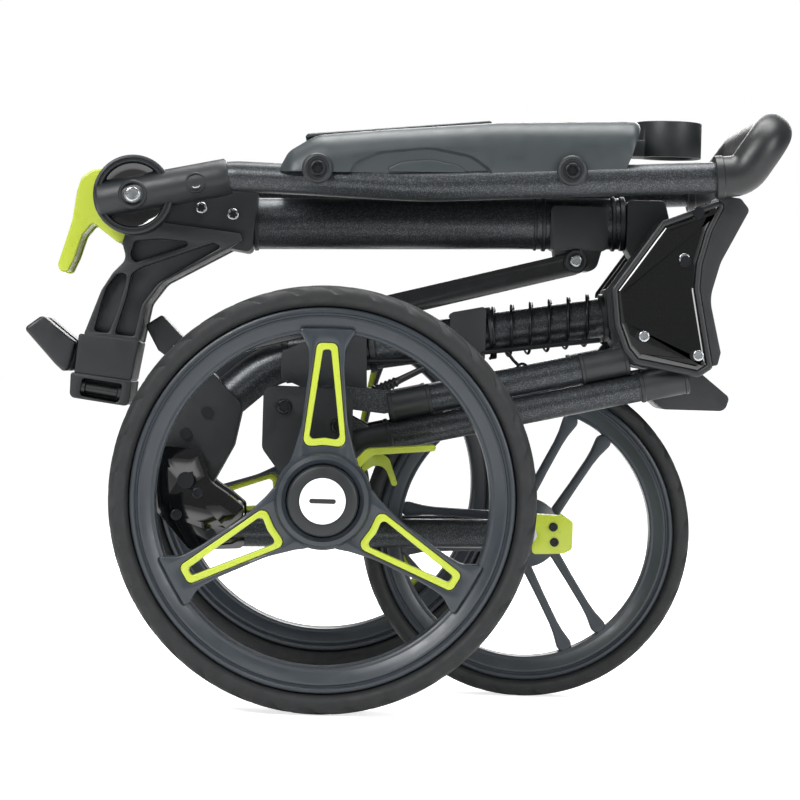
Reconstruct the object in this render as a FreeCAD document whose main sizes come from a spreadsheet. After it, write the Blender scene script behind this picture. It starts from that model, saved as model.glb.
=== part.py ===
"""Folding three-wheel golf push trolley, modelled folded flat for storage.

Frame: +X towards the grip, +Y away from the near rear wheel, +Z up.  The origin lies on the floor
under the middle of the folded trolley.  All lengths are millimetres, all angles degrees.
"""
import FreeCAD
import Part
import math
import os

V = FreeCAD.Vector
NEAR, FAR = -1, 1

doc = FreeCAD.newDocument("golf_trolley")
sheet = doc.addObject("Spreadsheet::Sheet", "sizes")

SIZES = {
    # wheels
    "rear_wheel_radius": 146.0, "rear_tyre_width": 46.0, "track_half": 165.0, "rear_axle_along": -53.0,
    "front_wheel_radius": 120.0, "front_tyre_width": 36.0, "front_axle_along": 95.0,
    "tyre_depth": 15.0, "rim_depth": 17.0, "rim_width_gap": 4.0, "spoke_depth": 16.0,
    "near_wheel_turn": 90.0, "far_wheel_turn": 72.0,
    "rear_hub_radius": 28.0, "front_hub_radius": 26.0, "axle_radius": 6.0, "running_gap": 0.05,
    # frame tubes
    "frame_gap": 26.0, "upper_tube_radius": 18.75, "front_tube_radius": 15.0, "link_tube_radius": 10.0,
    "fork_tube_radius": 10.5, "handle_tube_radius": 11.0, "grip_radius": 14.5, "tube_wall": 1.8,
    # main hinge
    "main_pin_along": 193.0, "main_pin_radius": 8.0, "knuckle_half": 18.5, "cheek_start": 21.0,
    "cheek_thick": 9.0, "cover_start": 72.5, "cover_thick": 6.5, "main_hinge_rise": 27.0,
    # rear links
    "link_length": 258.5, "link_slope": 12.85, "link_offset": 15.0, "link_middle": 61.0,
    "link_pin_radius": 4.0, "bracket_thick": 3.5,
    # fork
    "fork_pivot_along": -153.0, "fork_pivot_drop": 114.0, "fork_middle": 34.0, "fork_cover_start": 24.0,
    "fork_cover_thick": 20.0,
    # handle
    "handle_pivot_along": -195.0, "handle_pivot_rise": 62.0, "hinge_disc_radius": 28.5, "hinge_middle": 62.0,
    "hinge_disc_width": 27.0, "handle_spread": 96.0, "grip_along": 260.1, "grip_rise": 48.0,
    # console
    "console_half": 104.0, "lid_half": 77.0, "ball_cup_radius": 22.0, "ring_bore": 18.0, "ring_outer": 24.0,
    "ring_height": 26.0, "ring_along": 192.0,
    # upper frame
    "brace_start": 16.4, "brace_thick": 4.0, "bag_half": 38.0,
}
for row, (alias, value) in enumerate(SIZES.items(), 1):
    sheet.set("A%d" % row, alias)
    sheet.set("B%d" % row, str(value))
    sheet.setAlias("B%d" % row, alias)
doc.recompute()


def size(alias):
    """A driving size, read back from the sheet."""
    return float(sheet.get(alias))


# ---- layout worked out from the driving sizes ----------------------------------------------------
FRONT_R, REAR_R = size("front_wheel_radius"), size("rear_wheel_radius")
FRAME = 2 * FRONT_R + size("frame_gap")              # height of the main hinge's base line
MAIN = (size("main_pin_along"), FRAME + size("main_hinge_rise"))
HANDLE = (size("handle_pivot_along"), MAIN[1] + size("handle_pivot_rise"))
FORK = (size("fork_pivot_along"), FRAME - size("fork_pivot_drop"))
FRONT_AXLE = (size("front_axle_along"), FRONT_R)
REAR_AXLE = (size("rear_axle_along"), REAR_R)
LOWER_PIN = (MAIN[0] + 15.0, MAIN[1] - 40.5)         # rear link pins on the main hinge
UPPER_PIN = (MAIN[0] - 24.0, MAIN[1] - 28.0)
SLOPE = math.radians(size("link_slope"))
LINK = (-size("link_length") * math.cos(SLOPE), -size("link_length") * math.sin(SLOPE))
LOWER_EYE = (LOWER_PIN[0] + LINK[0], LOWER_PIN[1] + LINK[1])
UPPER_EYE = (UPPER_PIN[0] + LINK[0], UPPER_PIN[1] + LINK[1])
TOP = HANDLE[1]


def at(origin, points):
    """Points given as steps from a pivot; a third number is the corner's radius."""
    return [(origin[0] + p[0], origin[1] + p[1]) + tuple(p[2:]) for p in points]


def moved(point, along, up):
    return (point[0] + along, point[1] + up)


def polar(origin, radius, degrees):
    a = math.radians(degrees)
    return (origin[0] + radius * math.cos(a), origin[1] + radius * math.sin(a))


# ---- edges -----------------------------------------------------------------------------------------
def corner(before, here, after, radius):
    """Start, middle and end of the arc that rounds one corner of a path."""
    a, b = (before - here).normalize(), (after - here).normalize()
    half = a.getAngle(b) / 2
    reach = radius / math.tan(half)
    reach = min(reach, (before - here).Length * 0.49, (after - here).Length * 0.49)
    r = reach * math.tan(half)
    bisector = (a + b).normalize()
    return here + a * reach, here + bisector * (r / math.sin(half) - r), here + b * reach


def rounded_edges(points, closed):
    """Lines and arcs through 3-D points; each entry is (vector, corner radius)."""
    count = len(points)
    stops = []
    for i, (p, r) in enumerate(points):
        inner = closed or 0 < i < count - 1
        if inner and r > 0:
            stops.append(corner(V(points[i - 1][0]), V(p), V(points[(i + 1) % count][0]), r))
        else:
            stops.append((p, None, p))
    edges = []
    last = count if closed else count - 1
    for i, (start, middle, end) in enumerate(stops):
        if middle is not None:
            edges.append(Part.Arc(start, middle, end))
        if i < last:
            following = stops[(i + 1) % count][0]
            if (following - end).Length > 1e-6:
                edges.append(Part.LineSegment(end, following))
    return edges


def outline_edges(outline):
    """Closed outline in the XZ plane, as (x, z[, radius]) points."""
    entries = [(V(p[0], 0, p[1]), p[2] if len(p) > 2 else 0.0) for p in outline]
    return rounded_edges(entries, True)


def prism(outline, low, high):
    """Raw solid: an XZ outline extruded from Y = low to Y = high."""
    wire = Part.Wire([e.toShape() for e in outline_edges(outline)])
    solid = Part.Face(wire).extrude(V(0, high - low, 0))
    solid.translate(V(0, low, 0))
    return solid


def bar(centre, radius, low, high):
    """Raw solid: a round bar along Y."""
    return Part.makeCylinder(radius, high - low, V(centre[0], low, centre[1]), V(0, 1, 0))


def pipe(points, radius, wall=0.0):
    """Raw solid: a bent tube along (x, y, z, bend radius) points, hollow when it has a wall."""
    entries = [(V(*p[:3]), p[3] if len(p) > 3 else 0.0) for p in points]
    path = Part.Wire([e.toShape() for e in rounded_edges(entries, False)])
    start = entries[0][0]
    way = entries[1][0] - start

    def swept(r):
        ring = Part.Wire([Part.Circle(start, way, r).toShape()])
        return path.makePipeShell([ring], True, False)
    solid = swept(radius)
    return solid.cut(swept(radius - wall)) if wall else solid


# ---- document objects ------------------------------------------------------------------------------
parts = []


def keep(obj, label):
    obj.Label = label
    parts.append(obj)
    return obj


def feature(label, shape):
    """A piece whose shape no parametric feature makes as simply."""
    obj = doc.addObject("Part::Feature", label)
    solids = shape.Solids
    obj.Shape = solids[0] if len(solids) == 1 else Part.makeCompound(solids)
    return keep(obj, label)


def group(label, shapes):
    """Like pieces that share one node, each a separate solid."""
    return feature(label, Part.makeCompound(shapes))


def span(start, thick, side):
    """Y of the low and high face of a layer that starts a distance off the middle plane."""
    return (start, start + thick) if side == FAR else (-start - thick, -start)


def origin_plane(body, role):
    return next(o for o in body.Origin.OriginFeatures if o.Role == role)


def plate(label, outline, start, thick, side, holes=()):
    """PartDesign body: an XZ outline padded outwards; start and thick are sheet formulas."""
    body = doc.addObject("PartDesign::Body", label)
    sketch = body.newObject("Sketcher::SketchObject", label + "_outline")
    sketch.AttachmentSupport = [(origin_plane(body, "XZ_Plane"), "")]
    sketch.MapMode = "FlatFace"
    offset = start if side == NEAR else "-(%s) - (%s)" % (start, thick)
    sketch.setExpression("AttachmentOffset.Base.z", offset)
    flat = FreeCAD.Placement(V(), FreeCAD.Rotation(V(1, 0, 0), -90)).toMatrix()
    for edge in outline_edges(outline):
        curve = edge.copy()
        curve.transform(flat)
        sketch.addGeometry(curve, False)
    for centre, radius in holes:
        sketch.addGeometry(Part.Circle(V(centre[0], centre[1], 0), V(0, 0, 1), radius), False)
    doc.recompute()
    pad = body.newObject("PartDesign::Pad", label + "_pad")
    pad.Profile = sketch
    pad.setExpression("Length", thick)
    return keep(body, label)


def through(label, centre, radius, half):
    """Part::Cylinder along Y across the middle plane; radius and half length are sheet formulas."""
    obj = doc.addObject("Part::Cylinder", label)
    obj.Placement = FreeCAD.Placement(V(centre[0], 0, centre[1]), FreeCAD.Rotation(V(1, 0, 0), -90))
    obj.setExpression("Radius", radius)
    obj.setExpression("Height", "2 * (%s)" % half)
    obj.setExpression("Placement.Base.y", "-(%s)" % half)
    return keep(obj, label)


def rounds(label, where, radius, start, length, sides=(NEAR, FAR)):
    """A group of like pins or screws along Y, one piece of the group on each side."""
    shapes = []
    for side in sides:
        low, high = span(start, length, side)
        shapes += [bar(c, radius, low, high) for c in where]
    return feature(label, Part.makeCompound(shapes))


# ---- main hinge and front tube ---------------------------------------------------------------------
CHEEK = size("cheek_start")
CHEEK_OUT = CHEEK + size("cheek_thick")
COVER_OUT = size("cover_start") + size("cover_thick")
HINGE_OUTLINE = at(MAIN, [(-12, 54, 4), (-46, 5, 6), (-43, -21, 8), (-36, -39, 6), (-28, -48, 6),
                          (18, -56, 4), (28, -49, 4), (17, 7, 12), (18, 24, 12), (24, 47, 10),
                          (36, 73, 4)])
TUBE_START = moved(MAIN, -43, -14)
TUBE_KNEE = (-88.0, FRAME - 26.5)
CLAMP = (-146.0, FRAME - 73)
TUBE_SLOPE = (TUBE_START[1] - TUBE_KNEE[1]) / (TUBE_START[0] - TUBE_KNEE[0])


def on_front_tube(along):
    """Point of the front tube's straight run at a given X."""
    return (along, TUBE_START[1] + (along - TUBE_START[0]) * TUBE_SLOPE)


def make_main_hinge():
    """Two cheeks with the block that takes the front tube, and covers outside the rear links."""
    knuckle_room = size("main_pin_radius") + 10
    block = prism(at(MAIN, [(-47, 7, 3), (-43, -21, 8), (-36, -39, 6), (-28, -48, 6), (-5, -53, 3),
                            (-5, -24, 3), (-28, 7, 3)]), -CHEEK, CHEEK)
    block = block.cut(bar(MAIN, knuckle_room, -CHEEK, CHEEK))
    front_tube = pipe(FRONT_PATH, size("front_tube_radius"))
    foot = prism(at(MAIN, [(-14, -48), (12, -52), (26, -54, 2), (46, -70, 4), (43, -80, 6), (-2, -80, 6),
                           (-12, -72, 4)]), -CHEEK_OUT, CHEEK_OUT)
    core = block.fuse(foot).cut(front_tube)
    for side in (NEAR, FAR):
        low, high = span(CHEEK, size("cheek_thick"), side)
        core = core.fuse(prism(HINGE_OUTLINE, low, high))
    core = core.cut(bar(MAIN, size("main_pin_radius"), -CHEEK_OUT, CHEEK_OUT))
    for pin in (LOWER_PIN, UPPER_PIN):
        core = core.cut(bar(pin, size("link_pin_radius"), -CHEEK_OUT, CHEEK_OUT))
    feature("hinge_core", core.removeSplitter())
    rails = []
    for side, name in ((NEAR, "near"), (FAR, "far")):
        pins = [(p, size("link_pin_radius")) for p in (LOWER_PIN, UPPER_PIN)]
        plate("hinge_cover_" + name, HINGE_OUTLINE, "sizes.cover_start", "sizes.cover_thick", side, pins)
        rail = at(MAIN, [(30, 73.5), (44, 72, 4), (50.5, 64, 4), (31, 26, 30), (24, 0, 30),
                         (33, -38, 3), (31, -47, 2), (20, -49), (8, 0), (10, 30)])
        edge = prism(rail, *span(CHEEK, COVER_OUT - CHEEK, side)).cut(prism(HINGE_OUTLINE, -100, 100))
        link_room = prism(at(MAIN, [(-60, -100), (60, -100), (60, -18), (-60, -18)]),
                          *span(CHEEK_OUT + 8, size("cover_start") - CHEEK_OUT - 8, side))
        rails.append(max(edge.cut(link_room).Solids, key=lambda s: s.Volume))
    group("bag_rails", rails)
    through("main_pin", MAIN, "sizes.main_pin_radius", "sizes.cover_start")
    rounds("link_pins", [LOWER_PIN, UPPER_PIN], size("link_pin_radius"), CHEEK, COVER_OUT - CHEEK)


FRONT_PATH = [(TUBE_START[0], 0, TUBE_START[1]), (TUBE_KNEE[0] - 8, 0, TUBE_KNEE[1] - 8 * TUBE_SLOPE, 60.0),
              (CLAMP[0] + 6, 0, CLAMP[1] + 6)]


def make_front_tube():
    """Bent tube under the frame, its sliding block, spring collar and spring."""
    radius = size("front_tube_radius")
    feature("front_tube", pipe(FRONT_PATH, radius, size("tube_wall")))
    # sliding block and spring collar, each bored for the tube
    tube = pipe(FRONT_PATH, radius)
    block = prism([(-87, on_front_tube(-87)[1] - 12, 3), (-87, on_front_tube(-87)[1] + 7, 3),
                   (-60, on_front_tube(-60)[1] + 15.5, 4), (-26, on_front_tube(-26)[1] + 19, 4),
                   (-24, on_front_tube(-24)[1] - 34, 6), (-70, on_front_tube(-70)[1] - 22, 6)], -21, 21)
    feature("tube_block", block.cut(tube))
    collar = prism([(35, on_front_tube(35)[1] + 19, 3), (61, on_front_tube(61)[1] + 20, 3),
                    (61, on_front_tube(61)[1] - 20, 3), (35, on_front_tube(35)[1] - 19, 3)], -20, 20)
    feature("spring_collar", collar.cut(tube))
    # spring drawn as separate closed turns
    wire = 1.3
    turns = []
    way = V(1, 0, TUBE_SLOPE).normalize()
    for i in range(6):
        x = 66.0 + i * 15.6
        centre = V(x, 0, on_front_tube(x)[1])
        turns.append(Part.makeTorus(radius + 3.2, wire, centre, way))
    feature("spring", Part.makeCompound(turns))


def make_front_clamp():
    """Two-screw clamp that holds the front tube's lower end and carries the fork pivot."""
    tube = pipe(FRONT_PATH, size("front_tube_radius"))
    outline = [moved(FORK, -17, 6) + (8,), moved(CLAMP, -25, 8) + (6,), moved(CLAMP, -20, 35) + (6,),
               moved(CLAMP, 8, 38) + (8,), moved(CLAMP, 32, 14) + (8,), moved(CLAMP, 26, -16) + (6,),
               moved(FORK, 17, -6) + (10,), moved(FORK, 0, -18) + (12,)]
    body = prism(outline, -21, 21).cut(tube)
    body = body.cut(bar(FORK, size("axle_radius"), -30, 30))
    feature("front_clamp", body)
    screws = [bar(c, 4.0, *span(COVER_OUT, 2.0, side)) for c in at(MAIN, [(14, 61), (6, 26)])
              for side in (NEAR, FAR)]
    screws += [bar(c, 4.0, *span(CHEEK, 2.5, side)) for c in at(CLAMP, [(6, 8), (-9, -8)])
               for side in (NEAR, FAR)]
    group("frame_screws", screws)
    through("fork_pin", FORK, "sizes.axle_radius", "sizes.fork_cover_start + sizes.fork_cover_thick")


# ---- upper frame -----------------------------------------------------------------------------------
UPPER_START = moved(MAIN, -32, 55)
UPPER_END = moved(HANDLE, 83, -15)


def on_upper_tube(along):
    rise = (UPPER_START[1] - UPPER_END[1]) / (UPPER_START[0] - UPPER_END[0])
    return (along, UPPER_END[1] + (along - UPPER_END[0]) * rise)


def upper_pipe(wall=0.0):
    ends = [(UPPER_START[0], 0, UPPER_START[1]), (UPPER_END[0], 0, UPPER_END[1])]
    return pipe(ends, size("upper_tube_radius"), wall)


def make_upper_frame():
    """Main tube with its hinge knuckle, the mid bracket and the brace bars under it."""
    feature("upper_tube", upper_pipe(size("tube_wall")))
    half = size("knuckle_half")
    knuckle = prism(at(MAIN, [(-31.4, 72, 4), (-4, 72, 4), (12, 10), (12, -10, 10), (-12, -10, 10),
                              (-12, 6, 3), (-31.4, 36, 6)]), -half, half)
    bore = bar(MAIN, size("main_pin_radius") + size("running_gap"), -half, half)
    feature("upper_knuckle", knuckle.cut(upper_pipe()).cut(bore))
    tube = upper_pipe()
    mid = prism([(106, TOP + 4, 4), (148, TOP + 4, 4), (148, TOP - 28, 4), (106, TOP - 28, 4)], -20.5, 20.5)
    lug = prism([(108, TOP - 20), (146, TOP - 20), (140, TOP - 43, 8), (112, TOP - 43, 8)],
                -size("brace_start"), size("brace_start"))
    mid = mid.fuse(lug).cut(tube)
    brace = at(HANDLE, [(27, -106, 3), (322, -28.5, 7), (330, -43, 7), (31, -122, 3)])
    pivot = bar(moved(HANDLE, 320, -36), 4.0, -40, 40)
    bars = [prism(brace, *span(size("brace_start"), size("brace_thick"), side)).cut(pivot)
            for side in (NEAR, FAR)]
    group("brace_bars", bars)
    reach = size("brace_start") + size("brace_thick")
    post = bar(moved(HANDLE, 320, -36), 4.0, -reach, reach)
    feature("mid_bracket", mid.fuse(post).removeSplitter())
    hollow = prism(at(HANDLE, [(8, -92, 2), (20, -84, 2), (46, -110, 2), (34, -121, 2), (18, -110, 2)]),
                   -size("brace_start"), size("brace_start"))
    feature("brace_end_block", hollow)


def make_bag_bracket():
    """Collar on the upper tube, barrel of the handle hinge and the ribbed arm down to the bag strap."""
    barrel = size("hinge_disc_radius") - 6.5
    inner = size("hinge_middle") - size("hinge_disc_width") / 2 - 0.4
    collar = prism(at(HANDLE, [(0, 22), (60, 16, 4), (88, 7.6, 4), (84, -37, 4), (40, -30, 6), (0, -22)]),
                   -28, 28)
    collar = collar.fuse(bar(HANDLE, barrel, -inner, inner))
    collar = collar.cut(upper_pipe())
    collar = collar.cut(bar(HANDLE, size("axle_radius"), -inner, inner))
    arm = prism(at(HANDLE, [(-4, -18), (-8, -40, 6), (-22, -60, 6), (-28, -74, 6), (-35, -96, 3),
                            (3, -101, 3), (9, -75, 12), (20, -62, 6), (80, -34, 3), (80, -25), (20, -18)]),
                -size("bag_half"), size("bag_half")).cut(upper_pipe())
    arm = arm.cut(collar)
    for low, high in ((6, 50), (-50, -6)):
        arm = arm.cut(prism(at(HANDLE, [(-17, -66, 4), (-2, -62, 8), (-1, -94, 3), (-24, -92, 3)]), low, high))
        arm = arm.cut(prism(at(HANDLE, [(2, -52, 5), (12, -34, 6), (48, -36, 4), (12, -56, 5)]), low, high))
    feature("hinge_collar", collar)
    feature("bag_arm", max(arm.Solids, key=lambda s: s.Volume))
    rounds("collar_screws", at(HANDLE, [(47, -6), (70, -10)]), 4.0, 28, 2.0)
    through("handle_pin", HANDLE, "sizes.axle_radius", "sizes.hinge_middle + sizes.hinge_disc_width / 2")
    strap = prism(at(HANDLE, [(-38, -98, 3), (4, -103, 3), (-2, -150, 4), (-44, -144, 4)]),
                  -size("bag_half"), size("bag_half")).cut(arm)
    slot = prism(at(HANDLE, [(-37, -122, 3), (-8, -125, 3), (-9, -145, 3), (-38, -141, 3)]), -80, 80)
    feature("strap_block", strap.cut(slot))
    roller = bar(moved(HANDLE, -22.5, -136), 3.0, -size("bag_half") + 4, size("bag_half") - 4)
    ends = [bar(moved(HANDLE, -22.5, -136), 6.3, *span(size("bag_half") - 4, 4, s)) for s in (NEAR, FAR)]
    feature("strap_roller", roller.fuse(ends[0]).fuse(ends[1]))
    wing = at(HANDLE, [(-78, -97, 3), (-65, -87, 4), (-40.5, -106, 3), (-46, -130, 4), (-55, -122, 6)])
    group("bag_wings", [prism(wing, *span(12, 26, side)) for side in (NEAR, FAR)])


def make_cam_lever():
    """Hook-shaped lever that wraps the handle hinge's barrel and locks it."""
    barrel = size("hinge_disc_radius") - 6.5
    inner, outer, half = barrel + 0.3, barrel + 9, 26
    over = [polar(HANDLE, outer, a) for a in (128, 146, 164)]
    tail = at(HANDLE, [(-36, -4, 10), (-46, -44, 8), (-51, -50, 4), (-47, -56, 4), (-40, -52, 6),
                       (-31, -30, 10)])
    under = [polar(HANDLE, outer, 217), polar(HANDLE, outer, 232)]
    ends = [polar(HANDLE, inner - 3, a) for a in (128, 232)]
    hook = prism(ends[:1] + over + tail + under + ends[1:], -half, half)
    hook = hook.cut(bar(HANDLE, inner, -half, half))
    feature("cam_lever", hook)


# ---- handle and console ----------------------------------------------------------------------------
GRIP = (size("grip_along"), TOP + size("grip_rise") + 11.0)
GRIP_START = (219.0, TOP + 23.4)


def make_handle():
    """Hinge discs with their sleeves, the two bent tubes and the grip that joins them."""
    middle, spread = size("hinge_middle"), size("handle_spread")
    width = size("hinge_disc_width")
    for side, name in ((NEAR, "near"), (FAR, "far")):
        y = side * middle
        low, high = span(middle - width / 2, width, side)
        sleeve_end = moved(HANDLE, 66, 15)
        sleeve = pipe([(HANDLE[0] + 12, y, HANDLE[1] + 3), (sleeve_end[0], y, sleeve_end[1])], 13.3)
        disc = bar(HANDLE, size("hinge_disc_radius"), low, high)
        disc = disc.fuse(sleeve)
        path = [(sleeve_end[0] - 30, y, sleeve_end[1] - 7), (sleeve_end[0] + 2, y, sleeve_end[1] + 0.6, 40),
                (-66, side * (spread - 6), TOP + 13, 90), (10, side * spread, TOP + 10.5, 300),
                (GRIP_START[0], side * spread, GRIP_START[1])]
        tube = pipe(path, size("handle_tube_radius"))
        bore = bar(HANDLE, size("axle_radius") + size("running_gap"), -100, 100)
        feature("handle_hinge_" + name, disc.cut(tube).cut(bore))
        HANDLE_TUBES.append(tube)
    group("handle_tubes", HANDLE_TUBES)
    bend = 26.0
    grip = pipe([(GRIP_START[0], -spread, GRIP_START[1]), (236, -spread, TOP + 25, bend),
                 (GRIP[0] - 3, -spread, GRIP[1] - 2, 24), (GRIP[0] - 3, spread, GRIP[1] - 2, 24),
                 (236, spread, TOP + 25, bend), (GRIP_START[0], spread, GRIP_START[1])],
                size("grip_radius"))
    for tube in HANDLE_TUBES:
        grip = grip.cut(tube)
    feature("grip", grip)


HANDLE_TUBES = []
CONSOLE = [(-92, 19, 3), (-85, 34, 6), (-66, 45.5, 8), (64, 58, 4), (164, 62, 4), (152, 31, 3), (147, 22, 2)]


def over_top(points):
    """Console outline points, with heights given over the handle pivot's level."""
    return [(p[0], TOP + p[1]) + tuple(p[2:]) for p in points]


def make_console():
    """Tray with an open pocket, two ball cups and a hinged lid, the accessory ring and the bolts."""
    half, lid_half = size("console_half"), size("lid_half")
    shell = prism(over_top(CONSOLE), -half, half)
    pocket = prism(over_top([(-70, 28, 4), (52, 28, 4), (52, 90), (-70, 90)]), 8 - lid_half, lid_half - 8)
    shell = shell.cut(pocket)
    seat = prism(over_top([(-76, 43.1), (60, 57.1), (60, 80), (-76, 80)]), -lid_half, lid_half)
    shell = shell.cut(seat)
    for side in (NEAR, FAR):
        cup = Part.makeCylinder(size("ball_cup_radius"), 40, V(120, side * 40, TOP + 40), V(0, 0, 1))
        shell = shell.cut(cup)
    for tube in HANDLE_TUBES:
        shell = shell.cut(tube)
    feature("console_tray", max(shell.Solids, key=lambda s: s.Volume))
    lid = prism(over_top([(-75, 43.3), (59, 57.1), (59, 60.4), (-74, 46.6)]), 0.3 - lid_half,
                lid_half - 0.3)
    feature("console_lid", lid)
    along = size("ring_along")
    ring_body = Part.makeCylinder(size("ring_outer"), size("ring_height"), V(along, 0, TOP + 42))
    ring_body = ring_body.cut(Part.makeCylinder(size("ring_bore"), 60, V(along, 0, TOP + 20)))
    web = Part.makeBox(26, 30, 12, V(along - 44, -15, TOP + 42))
    web = web.cut(Part.makeCylinder(size("ring_outer"), 60, V(along, 0, TOP + 20)))
    ring_body = ring_body.fuse(web).cut(prism(over_top(CONSOLE), -half, half))
    feature("accessory_ring", ring_body.removeSplitter())
    bolts = []
    disc_face = size("hinge_middle") + size("hinge_disc_width") / 2
    for side in (NEAR, FAR):
        bolts.append(bar(HANDLE, 9.0, *span(disc_face, 3.0, side)))
        for along, rise, start in ((-64, 20.5, half), (114.5, 24, 107.4)):
            bolts.append(bar((along, TOP + rise), 9.0, *span(start, 4.0, side)))
    group("handle_bolts", bolts)


# ---- fork ------------------------------------------------------------------------------------------
def make_fork():
    """Moulded covers round the fork pivot, the two arms, their axle clamps and the bridge between."""
    cover_start, cover_thick = size("fork_cover_start"), size("fork_cover_thick")
    outline = at(FORK, [(-26, 25, 4), (9, 23, 4), (18, -1, 14), (32, -10, 8), (42, -18, 4), (44, -48, 5),
                        (4, -50, 5), (-20, -23, 5)])
    arms, clamps = [], []
    for side, name in ((NEAR, "near"), (FAR, "far")):
        arm = pipe([(FORK[0] + 30, side * size("fork_middle"), FRONT_R - 5),
                    (FRONT_AXLE[0] - 2, side * size("fork_middle"), FRONT_R)], size("fork_tube_radius"))
        cover = prism(outline, *span(cover_start, cover_thick, side))
        pivot = bar(FORK, size("axle_radius") + size("running_gap"), -60, 60)
        feature("fork_cover_" + name, cover.cut(arm).cut(pivot))
        clamp = prism(at(FRONT_AXLE, [(3, 15, 3), (26, 14, 3), (32, 10, 3), (32, -10, 3), (26, -13, 3),
                                      (3, -14, 3)]), *span(size("fork_middle") - 8, 18, side))
        tip = bar(FRONT_AXLE, 13, *span(size("fork_middle") - 8, 16, side))
        clamp = clamp.cut(tip).cut(arm)
        hole = bar(FRONT_AXLE, size("axle_radius"), -60, 60)
        arms.append(arm.fuse(tip).cut(hole).removeSplitter())
        clamps.append(clamp.cut(hole))
    group("fork_arms", arms)
    group("axle_clamps", clamps)
    bridge = prism(at(FORK, [(22, -16, 4), (40, -16, 4), (40, -44, 4), (22, -44, 4)]), -cover_start, cover_start)
    for arm in arms:
        bridge = bridge.cut(arm)
    feature("fork_bridge", bridge)
    rounds("fork_screws", at(FORK, [(-6, -25), (19, -38)]), 4.0, cover_start + cover_thick, 2.0)
    through("front_axle", FRONT_AXLE, "sizes.axle_radius", "sizes.fork_middle + 14")


# ---- rear links, axle brackets and brake -----------------------------------------------------------
def make_links():
    """Two pairs of parallel tubes from the main hinge to the rear axle brackets."""
    middle = size("link_middle")
    way = V(LINK[0], 0, LINK[1]).normalize()
    down = V(way.z, 0, -way.x) * -1
    down = down if down.z < 0 else down * -1
    for name, right, left, start, end in (("lower", LOWER_PIN, LOWER_EYE, 8, 6),
                                          ("upper", UPPER_PIN, UPPER_EYE, 12, 74)):
        for side, hand in ((NEAR, "near"), (FAR, "far")):
            base = V(right[0], 0, right[1]) + down * size("link_offset")
            first, last = base + way * start, base + way * (size("link_length") - end)
            y = side * middle
            solid = pipe([(first.x, y, first.z), (last.x, y, last.z)], size("link_tube_radius"))
            pin_room = size("link_pin_radius") + size("running_gap")
            if name == "upper":
                # flat tongue that climbs over the lower eye to its own
                tongue = [(last.x + 8, last.z - 2, 2), (last.x + 8, last.z + 10), (last.x - 4, last.z + 12, 4),
                          moved(left, 30, 16) + (8,), moved(left, -8, 8) + (6,), moved(left, -8, -8) + (6,),
                          moved(left, 16, -7) + (6,), moved(left, 34, 0.5) + (6,), (last.x - 4, last.z - 5, 3)]
                solid = solid.fuse(prism(tongue, *span(middle - 5, 10, side)))
            webs = ((right, 1),) if name == "upper" else ((right, 1), (left, -1))
            for eye, toward in webs:
                foot = V(eye[0], 0, eye[1]) + down * size("link_offset")
                u = way * toward
                web = [(eye[0] - u.x * 8 - down.x * 6, eye[1] - u.z * 8 - down.z * 6, 4),
                       (eye[0] + u.x * 8 - down.x * 6, eye[1] + u.z * 8 - down.z * 6, 4),
                       (foot.x + u.x * 26 - down.x * 6, foot.z + u.z * 26 - down.z * 6, 2),
                       (foot.x + u.x * 22, foot.z + u.z * 22), (foot.x + u.x * 10, foot.z + u.z * 10),
                       (foot.x - u.x * 2, foot.z - u.z * 2, 3)]
                solid = solid.fuse(prism(web, *span(middle - 5, 10, side)))
            for eye in (right, left):
                solid = solid.cut(bar(eye, pin_room, -100, 100))
            feature("%s_link_%s" % (name, hand), solid.removeSplitter())


def make_rear_axle():
    """Bracket plates either side of the link ends, the cross rod, the stub axles and the lug between."""
    middle, thick = size("link_middle"), size("bracket_thick")
    outline = [moved(UPPER_EYE, -15, 14) + (6,), moved(LOWER_EYE, 10, 26) + (6,), moved(LOWER_EYE, 10, -18) + (8,),
               moved(REAR_AXLE, 15, -8) + (8,), moved(REAR_AXLE, -15, -8) + (8,), moved(UPPER_EYE, -15, -30) + (8,)]
    for side, name in ((NEAR, "near"), (FAR, "far")):
        inner = prism(outline, *span(middle - 11 - thick, thick, side))
        outer = prism(outline, *span(middle + 11, thick, side))
        spacer = bar(REAR_AXLE, 11, *span(middle - 11, 22, side))
        body = inner.fuse(outer).fuse(spacer)
        if side == NEAR:
            body = body.fuse(pedal_mount())
        for pin in (UPPER_EYE, LOWER_EYE):
            body = body.cut(bar(pin, size("link_pin_radius"), -100, 100))
        body = body.cut(bar(REAR_AXLE, size("axle_radius"), -100, 100))
        feature("axle_bracket_" + name, body.removeSplitter())
    reach = middle + 11 + thick
    rods = [bar(LOWER_EYE, size("link_pin_radius"), -reach, reach)]
    rods += [bar(UPPER_EYE, size("link_pin_radius"), *span(middle - 11 - thick, 2 * (11 + thick), side))
             for side in (NEAR, FAR)]
    group("link_rods", rods)
    inside, outside = middle - 11 - thick, size("track_half") + 24
    rounds("rear_axles", [REAR_AXLE], size("axle_radius"), inside, outside - inside)


PEDAL_PIN = moved(REAR_AXLE, 21, 14)


def pedal_mount():
    """Arm and pin on the near axle bracket that carry the foot pedal."""
    start = size("link_middle") + 11
    arm = prism([moved(REAR_AXLE, -12, 0) + (5,), moved(REAR_AXLE, 8, 11) + (4,), moved(PEDAL_PIN, -6, 7) + (2,),
                 moved(PEDAL_PIN, 6, 3) + (3,), moved(PEDAL_PIN, 6, -6) + (4,), moved(REAR_AXLE, 8, -11) + (5,)],
                *span(start, 7, NEAR))
    return arm.fuse(bar(PEDAL_PIN, 3.0, *span(start, 46.5, NEAR)))


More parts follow.
